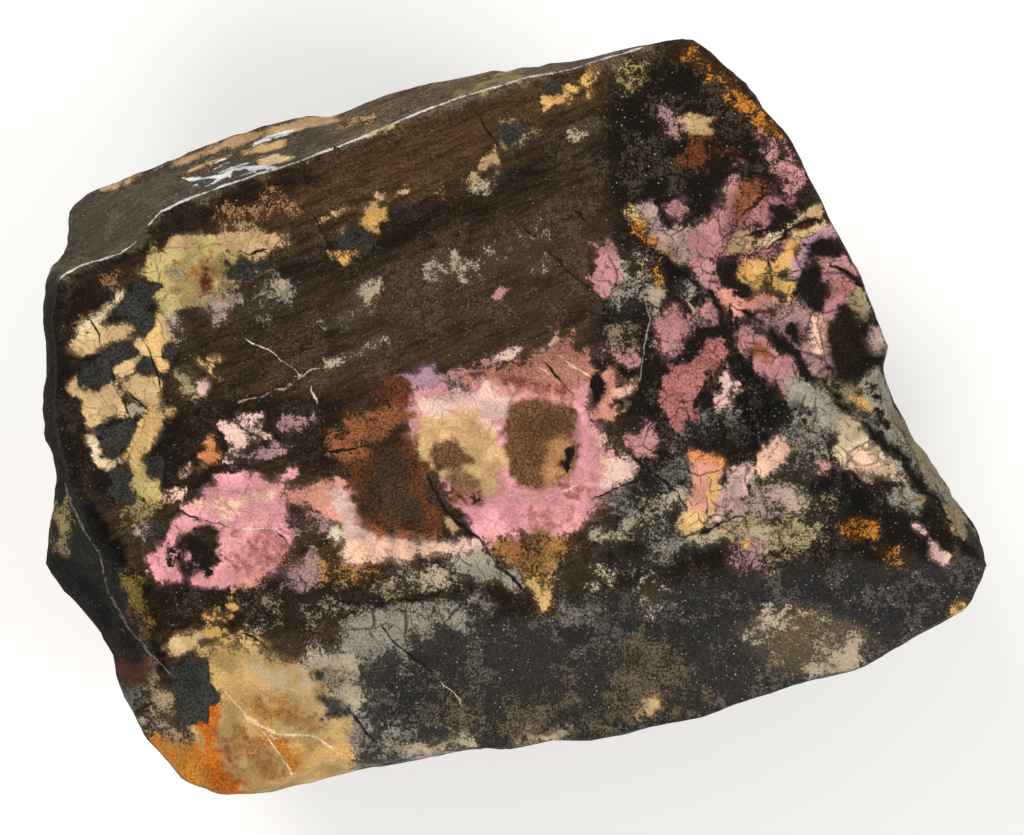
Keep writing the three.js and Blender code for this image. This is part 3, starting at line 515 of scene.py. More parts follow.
# Dark inclusions
INK = [
    ("charcoal", 1.5, 4, 1,
     "106,318 116,308 122,300 130,288 142,282 154,284 166,282 158,290 148,296 150,308 156,320 152,330 "
     "144,336 136,326 124,320"),
    ("charcoal", 1.5, 4, 1,
     "80,366 86,360 100,356 112,346 128,340 134,350 120,362 112,372 106,382 92,388 82,380"),
    ("charcoal", 1.5, 4, 1, "98,430 116,424 134,418 136,424 128,444 114,458 104,456"),
    ("charcoal", 2, 5, 1, "106,472 122,464 132,476 128,486 140,500 120,502 110,488"),
    ("charcoal", 2, 5, 0.95, "142,458 156,452 164,462 158,476 148,470"),
    ("charcoal", 2, 4, 0.95, "164,348 172,342 178,352 172,362 166,358"),
    ("charcoal", 2, 5, 0.9, "226,268 240,262 250,274 240,282 228,282"),
    ("charcoal", 2, 4, 1, "136,366 148,364 152,370 140,374"),
    ("charcoal", 2, 5, 0.9, "238,262 260,256 275,262 262,272 246,270"),
    ("ink", 5, 8, 0.48,
     "186,541 197,531 210,527 220,533 219,546 212,556 204,566 193,576 185,584 184,566 190,554"),
    ("charcoal", 2, 5, 0.9, "148,528 164,520 170,528 160,540 150,542"),
    ("ink", 2.5, 5, 0.35, "168,552 176,550 174,560 166,560"),
    ("ink", 2, 4, 1, "562,452 570,446 573,441 576,450 574,464 567,476 562,464"),
    ("eye_dark", 4, 6, 0.9, "430,478 438,472 446,488 452,504 460,520 452,518 444,506 434,500"),
    ("dark_brown", 4, 5, 0.65, "458,488 470,494 480,496 474,502 462,498"),
    ("ink", 3, 6, 0.85, "592,384 598,374 602,392 596,406"),
    ("ink", 3, 6, 0.42, "700,390 708,382 716,372 718,384 708,400 700,408"),
    ("charcoal", 1.5, 5, 1,
     "168,664 180,658 192,650 202,660 212,680 220,697 206,704 202,714 190,720 182,706 172,690"),
    ("charcoal", 2, 5, 0.9, "500,128 514,124 520,132 512,146 502,144"),
    ("charcoal", 2.5, 5, 0.9, "388,210 396,202 404,208 398,216 392,218"),
    ("charcoal", 3, 6, 0.9, "340,238 352,226 366,230 374,236 360,248 342,250"),
    ("charcoal", 3, 5, 0.8, "544,84 556,82 562,90 550,94"),
    ("ink", 4.5, 6, 0.74, "722,258 736,262 734,276 742,286 736,294 725,289 721,274"),
    ("ink", 2.5, 5, 0.9, "742,286 753,290 750,301 742,298"),
    ("ink", 4.5, 5, 0.74, "774,208 786,205 789,216 778,219"),
    ("ink", 4.5, 5, 0.74, "811,246 820,239 833,241 838,252 828,257 816,255"),
    ("ink", 4.5, 5, 0.74, "801,264 808,255 813,262 819,275 827,280 825,291 818,309 806,303 799,289"),
    ("charcoal", 2, 3, 0.5, "776,272 786,270 788,280 778,284"),
    ("ink", 3, 6, 0.9, "790,328 798,324 801,340 793,340"),
    ("ink", 2, 3, 0.9, "702,516 705,508 708,511 706,518"),
    ("ink", 3, 6, 0.35, "870,412 880,412 892,420 888,426 874,422"),
    ("ink", 3, 6, 0.35, "864,382 872,384 878,400 870,396"),
    ("charcoal", 5, 7, 0.9, "318,676 326,690 336,704 344,712 330,716 320,700"),
    ("beige", 2, 3, 0.9, "444,517 453,520 460,530 452,534 446,528"),
]

# Lines: tint, width, softness and raggedness in pixels, strength, points
LINES = [
    ("ink", 3, 1.5, 4, 0.95, "428,478 443,505 453,520 466,530 478,540 494,561 520,588"),
    ("ink", 8, 4, 9, 0.95,
     "742,312 770,330 790,350 806,373 824,388 846,406 870,427 890,446 906,470 926,492"),
    ("ink", 5, 3, 8, 0.8, "664,258 690,276 712,296 728,330 742,352 756,374"),
    ("ink", 4, 2.5, 6, 0.8, "926,492 950,520 965,548 980,558"),
    ("ink", 3.5, 2, 4, 0.9, "834,266 842,270 852,277 860,284"),
    ("charcoal", 2, 1.5, 2, 0.9, "768,258 772,272 771,290"),
    ("charcoal", 2, 1.5, 2, 0.9, "765,273 780,272 796,272"),
    ("charcoal", 2, 1.5, 2, 0.8, "785,281 796,281"),
    ("ink", 2, 1.5, 4, 0.85, "745,214 758,202 764,198"),
    ("ink", 4, 2, 6, 0.9, "744,242 764,232 776,222 790,214"),
    ("ink", 3, 2, 5, 0.9, "770,246 784,236 800,224 812,218"),
    ("ink", 1.6, 1, 2, 0.85, "140,334 148,350 156,368 160,384"),
    ("ink", 1.6, 1, 2, 0.8, "116,392 124,400 128,414"),
    ("ink", 1.6, 1, 2, 0.8, "122,384 132,396 146,410"),
    ("ink", 1.8, 1, 2, 0.8, "92,322 100,334 100,340"),
    ("ink", 2, 1, 3, 0.9, "183,511 192,517 204,521 222,525 236,529"),
    ("ink", 1.8, 1, 3, 0.8, "172,524 182,532 190,542 200,552"),
    ("ink", 1.8, 1, 3, 0.85, "278,534 284,540 290,548"),
    ("ink", 2.2, 1.2, 3, 0.85, "546,364 556,376 566,388 572,394"),
    ("ink", 2, 1.2, 3, 0.8, "594,498 606,494 622,486 636,480"),
    ("ink", 2.2, 1.2, 4, 0.8, "330,452 350,450 364,446"),
    ("ink", 2, 1.2, 4, 0.8, "632,456 650,470 668,484 684,508"),
    ("ink", 3, 2, 7, 0.85, "686,534 702,530 716,524 740,520"),
    ("ink", 3, 2, 8, 0.8, "340,606 380,604 410,600 440,592 470,592"),
    ("ink", 2, 1.5, 4, 0.7, "384,628 400,648 420,662 430,672"),
    ("ink", 2, 1.5, 4, 0.7, "350,712 365,728 376,744"),
    ("ink", 2, 1.2, 3, 0.6, "470,104 480,118 492,136 498,146"),
    ("ink", 2, 1.2, 3, 0.55, "526,230 540,244 552,256 562,262"),
    ("ink", 2, 1.2, 3, 0.55, "560,262 575,276 590,288"),
    ("ink", 2, 1.2, 3, 0.5, "575,212 590,226 600,240"),
    ("ink", 2.5, 1.5, 4, 0.6, "240,252 250,254 262,250"),
    ("ink", 2, 1.2, 4, 0.8, "246,634 260,640 268,648"),
    ("ink", 2, 1.2, 3, 0.8, "136,712 146,706 154,704"),
    ("pale", 1.2, 0.8, 2, 0.7, "232,527 245,530 262,530 278,528 290,526"),
    ("cream_pale", 2, 1.5, 3, 0.8, "226,694 236,706 246,716 258,726 274,734"),
    ("cream_pale", 1.2, 1, 2, 0.6, "258,728 270,740 282,758 292,775"),
    ("cream_pale", 1.6, 1.2, 2, 0.7, "272,734 296,735 312,735 324,742 334,750"),
    ("rose_pale", 1.2, 0.8, 2, 0.6, "560,356 575,368 588,376"),
    ("rose_pale", 1, 0.8, 3, 0.5, "470,380 478,392 486,406 490,420"),
    ("rose_pale", 1.2, 0.8, 4, 0.55, "505,496 530,500 556,496 576,484"),
    ("pale", 0.9, 0.8, 4, 0.5, "246,338 268,350 290,366 306,384 316,400"),
    ("beige_grey", 1.6, 1, 4, 0.55, "240,402 262,398 284,388 304,376 330,366"),
    ("ink", 1.6, 1, 5, 0.7, "232,420 244,430 258,436 268,446"),
    ("ink", 1.5, 1, 4, 0.7, "300,206 318,222 326,236 330,250"),
    ("rose_pale", 1.2, 0.8, 2, 0.6, "540,368 556,380 562,388"),
    ("smoke_pale", 1.4, 1, 2, 0.6, "646,300 650,320 645,345 640,380"),
    ("smoke_pale", 1.4, 1, 2, 0.6, "686,300 694,310 698,322"),
    ("smoke_dark", 2.2, 1, 3, 0.62,
     "66,486 75,512 84,530 97,553 101,565 108,592 120,615 135,637 150,655 170,674"),
    ("pale", 1, 0.8, 1, 0.6, "442,684 452,692 460,702"),
    # Painted glints: pale streaks standing in for light reflected off the smooth steps above the crest
    ("painted_glint", 3, 1, 3, 0.8, "188,180 206,178 228,174"),
    ("painted_glint", 4.5, 1.2, 4, 0.8, "226,174 238,169 252,167 273,167"),
    ("painted_glint", 2.5, 1, 3, 0.66, "256,143 274,137 291,132"),
    ("painted_glint", 1.5, 0.8, 2, 0.6, "214,162 226,158"),
    ("edge_glint", 1.4, 0.8, 1, 0.6, "62,277 80,266 97,261 120,254 135,243"),
    ("edge_glint", 1.6, 0.8, 1, 0.62, "150,224 160,212 180,202 220,187 260,174 280,168 300,161 330,149"),
    ("edge_glint", 1.4, 0.8, 1, 0.6, "340,146 370,134 410,116 450,101 490,89 530,77 570,70 610,57 640,48"),
]

# Zones with a net of fine dark cracks: share, feather in pixels, outline
CRACKED = [
    (0.8, 16,
     "592,235 640,200 720,172 800,150 840,250 886,350 892,400 985,552 900,560 730,572 600,545 640,440 "
     "598,350"),
    (0.5, 8, "62,300 160,235 300,222 300,300 185,330 172,420 165,520 100,515 66,400"),
    (0.4, 10, "140,560 170,515 230,470 300,462 360,480 360,535 300,590 180,592"),
    (0.3, 10, "345,400 410,372 560,340 600,350 635,465 560,535 480,548 350,540"),
    (0.9, 10, "290,560 480,545 560,600 620,540 720,545 740,572 560,612 380,645 290,612"),
    (0.35, 12, "320,620 420,640 480,740 380,760 330,720"),
]

LAYERS = {"patch": PATCHES, "strip": STRIP, "inner": INNER, "ink": INK}


def linear(tint):
    """An sRGB tint by name, as linear RGBA."""
    parts = [c / 255 for c in TINTS[tint]]
    return tuple(c / 12.92 if c <= 0.04045 else ((c + 0.055) / 1.055) ** 2.4 for c in parts) + (1.0,)


def outline(text):
    """The points of a marking."""
    return np.array([[float(v) for v in pair.split(",")] for pair in text.split()])


CORNER_CUT = 0.12  # share of a side that is cut off at each of its ends


def rounded(points):
    """The same outline with its corners cut, so that it reads as a natural edge."""
    following = np.roll(points, -1, axis=0)
    starts = points * (1 - CORNER_CUT) + following * CORNER_CUT
    ends = points * CORNER_CUT + following * (1 - CORNER_CUT)
    return np.stack([starts, ends], 1).reshape(-1, 2)


# Repeatable noise over arrays of points
SCATTER = (374761393, 668265263, 1440662683)  # large odd numbers that part neighbouring cells, by axis
MIXER = 1274126177
WORD, HALF_WORD = 0xFFFFFFFF, 0xFFFF


def lattice(cell, seed):
    """A number from 0 to 1 for each cell."""
    mixed = (sum(cell[:, n].astype(np.int64) * SCATTER[n] for n in range(3)) + seed * MIXER) & WORD
    mixed = ((mixed ^ (mixed >> 13)) * MIXER) & WORD
    return ((mixed ^ (mixed >> 16)) & HALF_WORD) / HALF_WORD


def clouds(points, seed):
    """Smooth noise from -1 to 1, with one wave per unit."""
    cell = np.floor(points)
    part = points - cell
    ease = part * part * (3 - 2 * part)
    total = np.zeros(len(points))
    for z, y, x in np.ndindex(2, 2, 2):
        corner = np.array((x, y, z))
        weight = np.prod(np.where(corner, ease, 1 - ease), axis=1)
        total += weight * lattice(cell + corner, seed)
    return total * 2 - 1


def billows(points, seed, octaves):
    """Clouds with finer ones on them, each half as large and half as strong as the last."""
    total = np.zeros(len(points))
    for n in range(octaves):
        total += clouds(points * 2.0**n, seed + n) / 2.0**n
    return total


def jagged(points, seed):
    """Noise with pointed crests, from about -1 to 1, for broken edges."""
    finer, weaker = 2.1, 0.74  # each octave against the last
    crest, gain = 0.27, 1.25  # bring the sum to its range
    shift = np.array((3.7, 1.9, 5.3))
    total = np.zeros(len(points))
    for n in range(4):
        total += (crest - np.abs(clouds(points * finer**n + shift * n, seed + n))) * weaker**n
    return total * gain


def hollows(points, seed):
    """Squared distance to the nearest scattered point: round hollows with ridges between them."""
    cell = np.floor(points)
    nearest = np.ones(len(points))
    for step in np.ndindex(3, 3, 3):
        near = cell + np.array(step) - 1
        centre = near + np.stack([lattice(near, seed + n) for n in range(3)], 1)
        nearest = np.minimum(nearest, ((centre - points) ** 2).sum(1))
    return nearest


def smooth(value, low, high):
    """Rises from 0 at low to 1 at high, gently at both ends."""
    part = np.clip((value - low) / (high - low), 0, 1)
    return part * part * (3 - 2 * part)


# Distances on the photograph, in pixels
REACH = 60.0  # past which a marking has no effect
EDGE_INSET = 0.4  # by which a patch stops short of its outline
TINY = 1e-9  # keeps a division from failing


def line_distance(at, points, closed):
    """Squared distance from each place to the nearest stretch of a line, and the side on which it lies."""
    best = np.full(len(at), REACH**2)
    side = np.ones(len(at))
    ends = np.roll(points, -1, axis=0) if closed else points[1:]
    for start, end in zip(points, ends):
        run = end - start
        off = at - start
        share = np.clip((off @ run) / max(run @ run, TINY), 0, 1)
        away = ((off - share[:, None] * run) ** 2).sum(1)
        side = np.where(away < best, np.sign(off[:, 0] * run[1] - off[:, 1] * run[0]), side)
        best = np.minimum(best, away)
    return best, side


def outline_distance(at, text):
    """Distance from the edge of a rounded outline, negative inside it."""
    points = rounded(outline(text))
    result = np.full(len(at), REACH)
    low, high = points.min(0) - REACH, points.max(0) + REACH
    near = np.all((at > low) & (at < high), axis=1)
    here = at[near]
    if len(here) == 0:
        return result
    away = np.sqrt(line_distance(here, points, closed=True)[0])
    inside = np.zeros(len(here), bool)
    for start, end in zip(points, np.roll(points, -1, axis=0)):
        spans = (start[1] > here[:, 1]) != (end[1] > here[:, 1])
        rise = end[1] - start[1] if end[1] != start[1] else TINY
        inside ^= spans & (here[:, 0] < start[0] + (here[:, 1] - start[1]) * (end[0] - start[0]) / rise)
    result[near] = np.where(inside, -away, away)
    return result


def feathered(at, feather, text):
    """The share of a zone at each place, fading across its outline."""
    return smooth(-outline_distance(at, text), -feather, feather)


# Patches, in soft edges: widths of a patch's own edge
PATCH_FAR = 4.0  # outside which a patch has no effect
# How far inside its edge a tint sets in and is full: past the edge on bare ground, for the frayed grains
TINT_ON_GROUND = (-2.6, -0.8)
TINT_ON_PATCH = (-1.0, 1.0)  # the same on an earlier patch


def painted_field(at, markings, rough):
    """How far each place lies outside the nearest patch, in soft edges, with the tint and strength."""
    nearest = np.full(len(at), PATCH_FAR)
    tint = np.zeros((len(at), 4))
    painted = np.zeros(len(at))
    for n, (name, soft, ragged, strength, text) in enumerate(markings):
        away = (outline_distance(at, text) + ragged * rough[n % len(rough)] + EDGE_INSET) / soft
        nearest = np.minimum(nearest, away)
        wide, narrow = smooth(-away, *TINT_ON_GROUND), smooth(-away, *TINT_ON_PATCH)
        cover = wide + (narrow - wide) * painted
        painted = np.maximum(painted, wide)
        tint += cover[:, None] * (np.array(linear(name)[:3] + (strength,)) - tint)
    return np.clip(nearest, -PATCH_FAR, PATCH_FAR), tint


# Lines
LINE_FAR = 9.0  # soft edges past which a line has no effect
LINE_FADE = 3.0  # pixels over which the tint fades beside a line
LINE_MARGIN = 4.0  # pixels past the tint in which a line still counts as the nearest
LINE_BEND, LINE_SWELL = 0.5, 0.5  # shares of the noise that bend a line and change its width


def drawn_lines(at, rough):
    """How far each place lies to one side of the nearest line and half the line's width, both in soft edges,
    with the tint and strength. The side is signed, so that a line may be finer than the mesh."""
    across = np.full(len(at), LINE_FAR)
    half = np.zeros(len(at))
    tint = np.zeros((len(at), 4))
    nearest = np.full(len(at), REACH)
    for n, (name, width, soft, ragged, strength, text) in enumerate(LINES):
        away, side = line_distance(at, outline(text), closed=False)
        away = np.sqrt(away)
        outside = away - width / 2
        reach = width / 2 + 2 * soft + LINE_FADE
        closest = (outside < nearest) & (away < reach + LINE_MARGIN)
        nearest = np.where(closest, outside, nearest)
        bend = LINE_BEND * ragged * rough[n % len(rough)]
        across = np.where(closest, np.clip((side * away + bend) / soft, -LINE_FAR, LINE_FAR), across)
        swell = 1 + LINE_SWELL * rough[(n + 1) % len(rough)]
        half = np.where(closest, width / 2 / soft * swell, half)
        colour = np.tile(np.array(linear(name)), (len(at), 1))
        colour[:, 3] = strength * smooth(reach - away, 0, LINE_FADE)
        tint = np.where(closest[:, None], colour, tint)
    return across, half, tint


# The stone's mesh, in metres
FACE_SPACING = 0.0003
SIDE_SPACING = 0.0009
LONG_EDGE = 1.4  # spacings past which an edge of the sides is halved
HALVINGS = 6  # at most
SAME_PLACE = 1e-6  # between points that are merged
ON_PLANE = 1e-7  # between a point and the cut it lies on
FLAT = 2e-6  # between the points of the polished face
ALONG_FACE, ALONG_FLOOR = 0.9999, 0.999  # cosines past which a triangle is the polished face or the underside
SIDE, POLISHED, UNDERSIDE = range(3)  # kinds of surface, held as material numbers while the mesh is cut
SHARP_EDGE = math.radians(38)


def surface(bm, kind):
    """The faces of one kind."""
    return [face for face in bm.faces if face.material_index == kind]


def split_long_edges(bm):
    """Halves the sides' edges until they are about as short as the spacing."""
    for _ in range(HALVINGS):
        long_edges = [
            edge for edge in bm.edges
            if edge.calc_length() > LONG_EDGE * SIDE_SPACING
            and any(face.material_index == SIDE for face in edge.link_faces)
        ]
        if not long_edges:
            return
        bmesh.ops.subdivide_edges(bm, edges=long_edges, cuts=1)
        bmesh.ops.triangulate(bm, faces=[f for f in surface(bm, SIDE) if len(f.verts) > 3])


def cut_grid(bm):
    """Cuts the polished face into even squares."""
    bmesh.ops.dissolve_faces(bm, faces=surface(bm, POLISHED))
    for way in (Vector(FACE_ACROSS), Vector(FACE_UP)):
        rest = surface(bm, POLISHED)
        places = [v.co.dot(way) for f in rest for v in f.verts]
        low, high = min(places), max(places)
        count = round((high - low) / FACE_SPACING)
        for n in range(1, count):
            at = low + (high - low) * n / count
            edges = dict.fromkeys(edge for f in rest for edge in f.edges)
            corners = dict.fromkeys(v for f in rest for v in f.verts)
            pieces = [*rest, *edges, *corners]
            cut = bmesh.ops.bisect_plane(bm, geom=pieces, dist=ON_PLANE, plane_co=way * at, plane_no=way)
            faces = [part for part in cut["geom"] if isinstance(part, bmesh.types.BMFace)]
            rest = [f for f in faces if max(v.co.dot(way) for v in f.verts) > at + ON_PLANE]


def stone_mesh():
    """The solid's mesh, cut finely enough for the fracture and the markings."""
    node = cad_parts["rhodonite_stone"]
    bm = bmesh.new()
    bm.from_mesh(node.data)
    bmesh.ops.remove_doubles(bm, verts=bm.verts, dist=SAME_PLACE)
    bm.normal_update()
    for face in bm.faces:
        face.material_index = SIDE
        if face.normal.dot(Vector(FACE_OUT)) > ALONG_FACE:
            face.material_index = POLISHED
        elif face.normal.z < -ALONG_FLOOR:
            face.material_index = UNDERSIDE
    split_long_edges(bm)
    cut_grid(bm)
    bmesh.ops.triangulate(bm, faces=[f for f in bm.faces if len(f.verts) > 4])
    for face in bm.faces:
        face.material_index = 0
    mesh = bpy.data.meshes.new("rhodonite_stone_dressed")
    bm.to_mesh(mesh)
    bm.free()
    return mesh


def read_points(mesh):
    points = np.empty(len(mesh.vertices) * 3)
    mesh.vertices.foreach_get("co", points)
    return points.reshape(-1, 3)


def read_normals(mesh):
    normals = np.empty(len(mesh.vertices) * 3, np.float32)
    mesh.vertex_normals.foreach_get("vector", normals)
    return normals.reshape(-1, 3).astype(float)


class Face:
    """The polished face: where it lies, and how a point is seen in the photograph."""

    def __init__(self, points):
        heights = points @ FACE_OUT
        self.height = heights.max()
        flat = points[heights > self.height - FLAT]
        self.middle_across = (flat @ FACE_ACROSS).min() - (FACE_LEFT_PX - PHOTO_MIDDLE[0]) * PIXEL
        self.middle_up = (flat @ FACE_UP).max() - (PHOTO_MIDDLE[1] - FACE_TOP_PX) * PIXEL

    def depth(self, points):
        return self.height - points @ FACE_OUT

    def photo(self, points):
        """Pixels of the photograph at which the camera sees these points."""
        shrink = CAMERA_DISTANCE / (CAMERA_DISTANCE + self.depth(points))
        x = (points @ FACE_ACROSS - self.middle_across) * shrink / PIXEL
        y = (points @ FACE_UP - self.middle_up) * shrink / PIXEL
        return np.stack([PHOTO_MIDDLE[0] + x, PHOTO_MIDDLE[1] - y], 1)

    def place(self, out):
        """The point in front of the photograph's middle, this far out from the face."""
        return self.middle_across * FACE_ACROSS + self.middle_up * FACE_UP + (self.height + out) * FACE_OUT


# Fracture of the broken sides: heights in millimetres, sizes in waves per millimetre.
# A level is the noise that leaves the surface where it was.
FOOT_FADE = 1.2  # height above the underside at which it is full
RIM_FADE = 2.5  # depth below the polished face at which it is full
HIDDEN_DEPTH = (3.0, 9.0)  # depths at which the rougher, hidden fracture sets in and is full
HIDDEN_TURN = (-0.25, 0.2)  # cosines away from the camera at which it sets in and is full
CHIP_HEIGHT, CHIP_SIZE = 0.22, 0.55
PIT_HEIGHT, PIT_SIZE, PIT_LEVEL = 0.16, 0.42, 0.2
BREAK_HEIGHT, BREAK_SIZE, BREAK_LEVEL = 0.55, 0.2, 0.6
LEDGE_SIZES = (0.9, 0.05, 0.08)  # across the layers, along them and down the side
LEDGE_LEAN = 0.3  # by which the layers lean over with depth
LEDGE_HEIGHT, LEDGE_LEVEL, HIDDEN_LEDGE_HEIGHT = 0.3, 0.3, 0.35
SEEN_SHARE = 0.55  # of the fine fracture, where the camera sees it


def roughen(mesh, face):
    """Breaks up the sides with fine fracture, leaving the polished face and the underside flat."""
    points = read_points(mesh)
    normals = read_normals(mesh)
    mm = points * MM
    depth = face.depth(points) * MM
    full = smooth(depth, 0.0, RIM_FADE) * smooth(mm[:, 2], 0.0, FOOT_FADE)
    hidden = smooth(depth, *HIDDEN_DEPTH) * smooth(-(normals @ FACE_OUT), *HIDDEN_TURN)
    over_layers = FACE_UP * math.cos(LAYER_RISE) - FACE_ACROSS * math.sin(LAYER_RISE)
    layered = np.stack([mm @ over_layers + LEDGE_LEAN * depth, mm @ FACE_ACROSS, depth], 1)
    ledges = np.abs(clouds(layered * np.array(LEDGE_SIZES), SEEDS["ledges"]))
    chips = CHIP_HEIGHT * billows(mm * CHIP_SIZE, SEEDS["chips"], 4)
    pits = PIT_HEIGHT * (hollows(mm * PIT_SIZE, SEEDS["pits"]) - PIT_LEVEL)
    breaks = BREAK_HEIGHT * (hollows(mm * BREAK_SIZE, SEEDS["breaks"]) - BREAK_LEVEL)
    fine = (chips + pits) * (SEEN_SHARE + (1 - SEEN_SHARE) * hidden)
    seen_ledges = LEDGE_HEIGHT * (LEDGE_LEVEL - ledges) * (1 - hidden)
    broad = hidden * (breaks - HIDDEN_LEDGE_HEIGHT * ledges)
    points += normals * (full * (fine + seen_ledges + broad) / MM)[:, None]
    mesh.vertices.foreach_set("co", points.astype(np.float32).ravel())
    mesh.update()


def store(mesh, name, values):
    """Keeps a number, a vector or a colour at each vertex."""
    width = 1 if values.ndim == 1 else values.shape[1]
    kind, key = {1: ("FLOAT", "value"), 3: ("FLOAT_VECTOR", "vector"), 4: ("FLOAT_COLOR", "color")}[width]
    layer = mesh.attributes.new(name, kind, "POINT")
    layer.data.foreach_set(key, values.astype(np.float32).ravel())


# Where the markings go
EDGE_NOISE, EDGE_SIZE = 1.7, 0.36  # strength and waves per millimetre of the noise that breaks edges
EDGE_SHIFT, EDGE_SEEDS_APART = 17, 10  # between its three kinds
GROUND_SWAY = 6.0  # pixels by which it moves the ground's zones
UNSEEN_DEPTH = 4.0  # millimetres below the face at which an unseen side starts
UNSEEN_TURN = (-0.1, 0.15)  # cosines away from the camera at which it sets in and is full
INWARD_DRIFT = 8.0  # pixels of the face passed for each millimetre down an unseen side
STRIP_THINNING = 2.0  # soft edges by which the layers above the crest end, for each such millimetre
PLAIN_STREAKS, PLAIN_FLECKS = 1.0, 0.35  # shares outside the ground's zones

# What the surface holds besides
CLOUD_SIZE, CLOUD_PEAK = 0.5, 0.62  # waves per millimetre of the coarse grain, and where it is palest
BEND_SIZE, BEND_REACH, BEND_SEEDS_APART = 0.3, 1.1, 5  # of the noise that bends the cracks, in millimetres
POLISH_TURN = (0.55, 0.98)  # cosines towards the camera at which the polish sets in and is full
CRUST_SHARE = 0.75
CRUST_DEPTH = (2, 10)  # millimetres below the face at which the crust sets in and is full
CRUST_TURN = (-0.02, 0.3)  # cosines away from the camera at which it does


def mark_ground(mesh, at):
    """Stores the ground's colour, its shares of streaks and flecks, and the cracked zones."""
    ground = np.tile(np.array(linear("matrix")), (len(at), 1))
    streaks = np.full(len(at), PLAIN_STREAKS)
    flecks = np.full(len(at), PLAIN_FLECKS)
    for tint, feather, streak, fleck, text in GROUND:
        share = feathered(at, feather, text)
        ground += share[:, None] * (np.array(linear(tint)) - ground)
        streaks += share * (streak - streaks)
        flecks += share * (fleck - flecks)
    cracked = np.zeros(len(at))
    for amount, feather, text in CRACKED:
        cracked = np.maximum(cracked, amount * feathered(at, feather, text))
    store(mesh, "ground", ground)
    store(mesh, "streaks", streaks)
    store(mesh, "flecks", flecks)
    store(mesh, "cracked", cracked)


def mark_minerals(mesh, at, seen_at, unseen, rough):
    """Stores the layers of patches, and the lines where the camera sees them."""
    for name, markings in LAYERS.items():
        away, tint = painted_field(at, markings, rough)
        store(mesh, name, away + (STRIP_THINNING * unseen if name == "strip" else 0))
        store(mesh, name + "_tint", tint)
    across, half, tint = drawn_lines(seen_at, rough)
    tint[:, 3] *= 1 - np.clip(unseen, 0, 1)
    store(mesh, "line", across)
    store(mesh, "line_half", half)
    store(mesh, "line_tint", tint)


def mark(mesh, face):
    """Stores the markings, the coarse grain, the polish and the weathering on the mesh."""
    points = read_points(mesh)
    facing = read_normals(mesh) @ FACE_OUT
    mm = points * MM
    depth = face.depth(points) * MM
    rough = [EDGE_NOISE * jagged(mm * EDGE_SIZE + EDGE_SHIFT * n, SEEDS["edges"] + EDGE_SEEDS_APART * n)
             for n in range(3)]

    # Sides that the camera can't see show the minerals of the face behind their edge
    seen_at = face.photo(points)
    unseen = smooth(-facing, *UNSEEN_TURN) * np.clip(depth - UNSEEN_DEPTH, 0, None)
    inward = np.array(PHOTO_MIDDLE) - seen_at
    inward /= np.linalg.norm(inward, axis=1)[:, None] + TINY
    at = seen_at + inward * (unseen * INWARD_DRIFT)[:, None]

    mark_ground(mesh, at + np.stack(rough[:2], 1) * GROUND_SWAY)
    mark_minerals(mesh, at, seen_at, unseen, rough)
    store(mesh, "cloud", smooth(billows(mm * CLOUD_SIZE, SEEDS["cloud"], 3), -CLOUD_PEAK, CLOUD_PEAK))
    bend = np.stack([billows(mm * BEND_SIZE, SEEDS["bend"] + BEND_SEEDS_APART * n, 3) for n in range(3)], 1)
    store(mesh, "bent", mm + BEND_REACH * bend)
    store(mesh, "polish", smooth(facing, *POLISH_TURN))
    store(mesh, "weathered", CRUST_SHARE * smooth(depth, *CRUST_DEPTH) * smooth(-facing, *CRUST_TURN))


# Shader nodes
def add(tree, kind, inputs=(), **settings):
    """A node with its settings, and its inputs linked or set."""
    node = tree.nodes.new(kind)
    for key, value in settings.items():
        setattr(node, key, value)
    for key, value in dict(inputs).items():
        if isinstance(value, bpy.types.NodeSocket):
            tree.links.new(value, node.inputs[key])
        else:
            node.inputs[key].default_value = value
    return node


def attribute(tree, name, output="Fac"):
    return add(tree, "ShaderNodeAttribute", attribute_name=name, attribute_type="GEOMETRY").outputs[output]


def grain(tree, at, scale, detail, rough, distortion=0.0):
    inputs = {"Vector": at, "Scale": scale, "Detail": detail, "Roughness": rough, "Distortion": distortion}
    return add(tree, "ShaderNodeTexNoise", inputs).outputs["Fac"]


def span(tree, value, low, high, out_low=0.0, out_high=1.0):
    """Runs from out_low at low to out_high at high, gently at both ends."""
    inputs = {"Value": value, "From Min": low, "From Max": high, "To Min": out_low, "To Max": out_high}
    return add(tree, "ShaderNodeMapRange", inputs, interpolation_type="SMOOTHSTEP").outputs["Result"]


def maths(tree, operation, a, b=0.0):
    return add(tree, "ShaderNodeMath", {0: a, 1: b}, operation=operation).outputs[0]


def plus(tree, a, b):
    return maths(tree, "ADD", a, b)


def minus(tree, a, b):
    return maths(tree, "SUBTRACT", a, b)


def times(tree, a, b):
    return maths(tree, "MULTIPLY", a, b)


def blend(tree, share, a, b):
    """The first colour where the share is 0, the second where it is 1."""
    return add(tree, "ShaderNodeMix", {0: share, 6: a, 7: b}, data_type="RGBA").outputs[2]


def shade(tree, colour, factor):
    """The colour made lighter or darker."""
    return add(tree, "ShaderNodeVectorMath", {0: colour, 3: factor}, operation="SCALE").outputs[0]


def varied(tree, share, colour, darker, lighter):
    """The colour, from a darker shade of itself to a lighter one."""
    return blend(tree, share, shade(tree, colour, darker), shade(tree, colour, lighter))


def group(name, inputs, outputs):
    """A node group, with its inputs and outputs by name."""
    tree = bpy.data.node_groups.new(name, "ShaderNodeTree")
    for way, sockets in (("INPUT", inputs), ("OUTPUT", outputs)):
        for label, kind in sockets.items():
            tree.interface.new_socket(name=label, in_out=way, socket_type="NodeSocket" + kind)
    return tree, tree.nodes.new("NodeGroupInput").outputs, tree.nodes.new("NodeGroupOutput").inputs


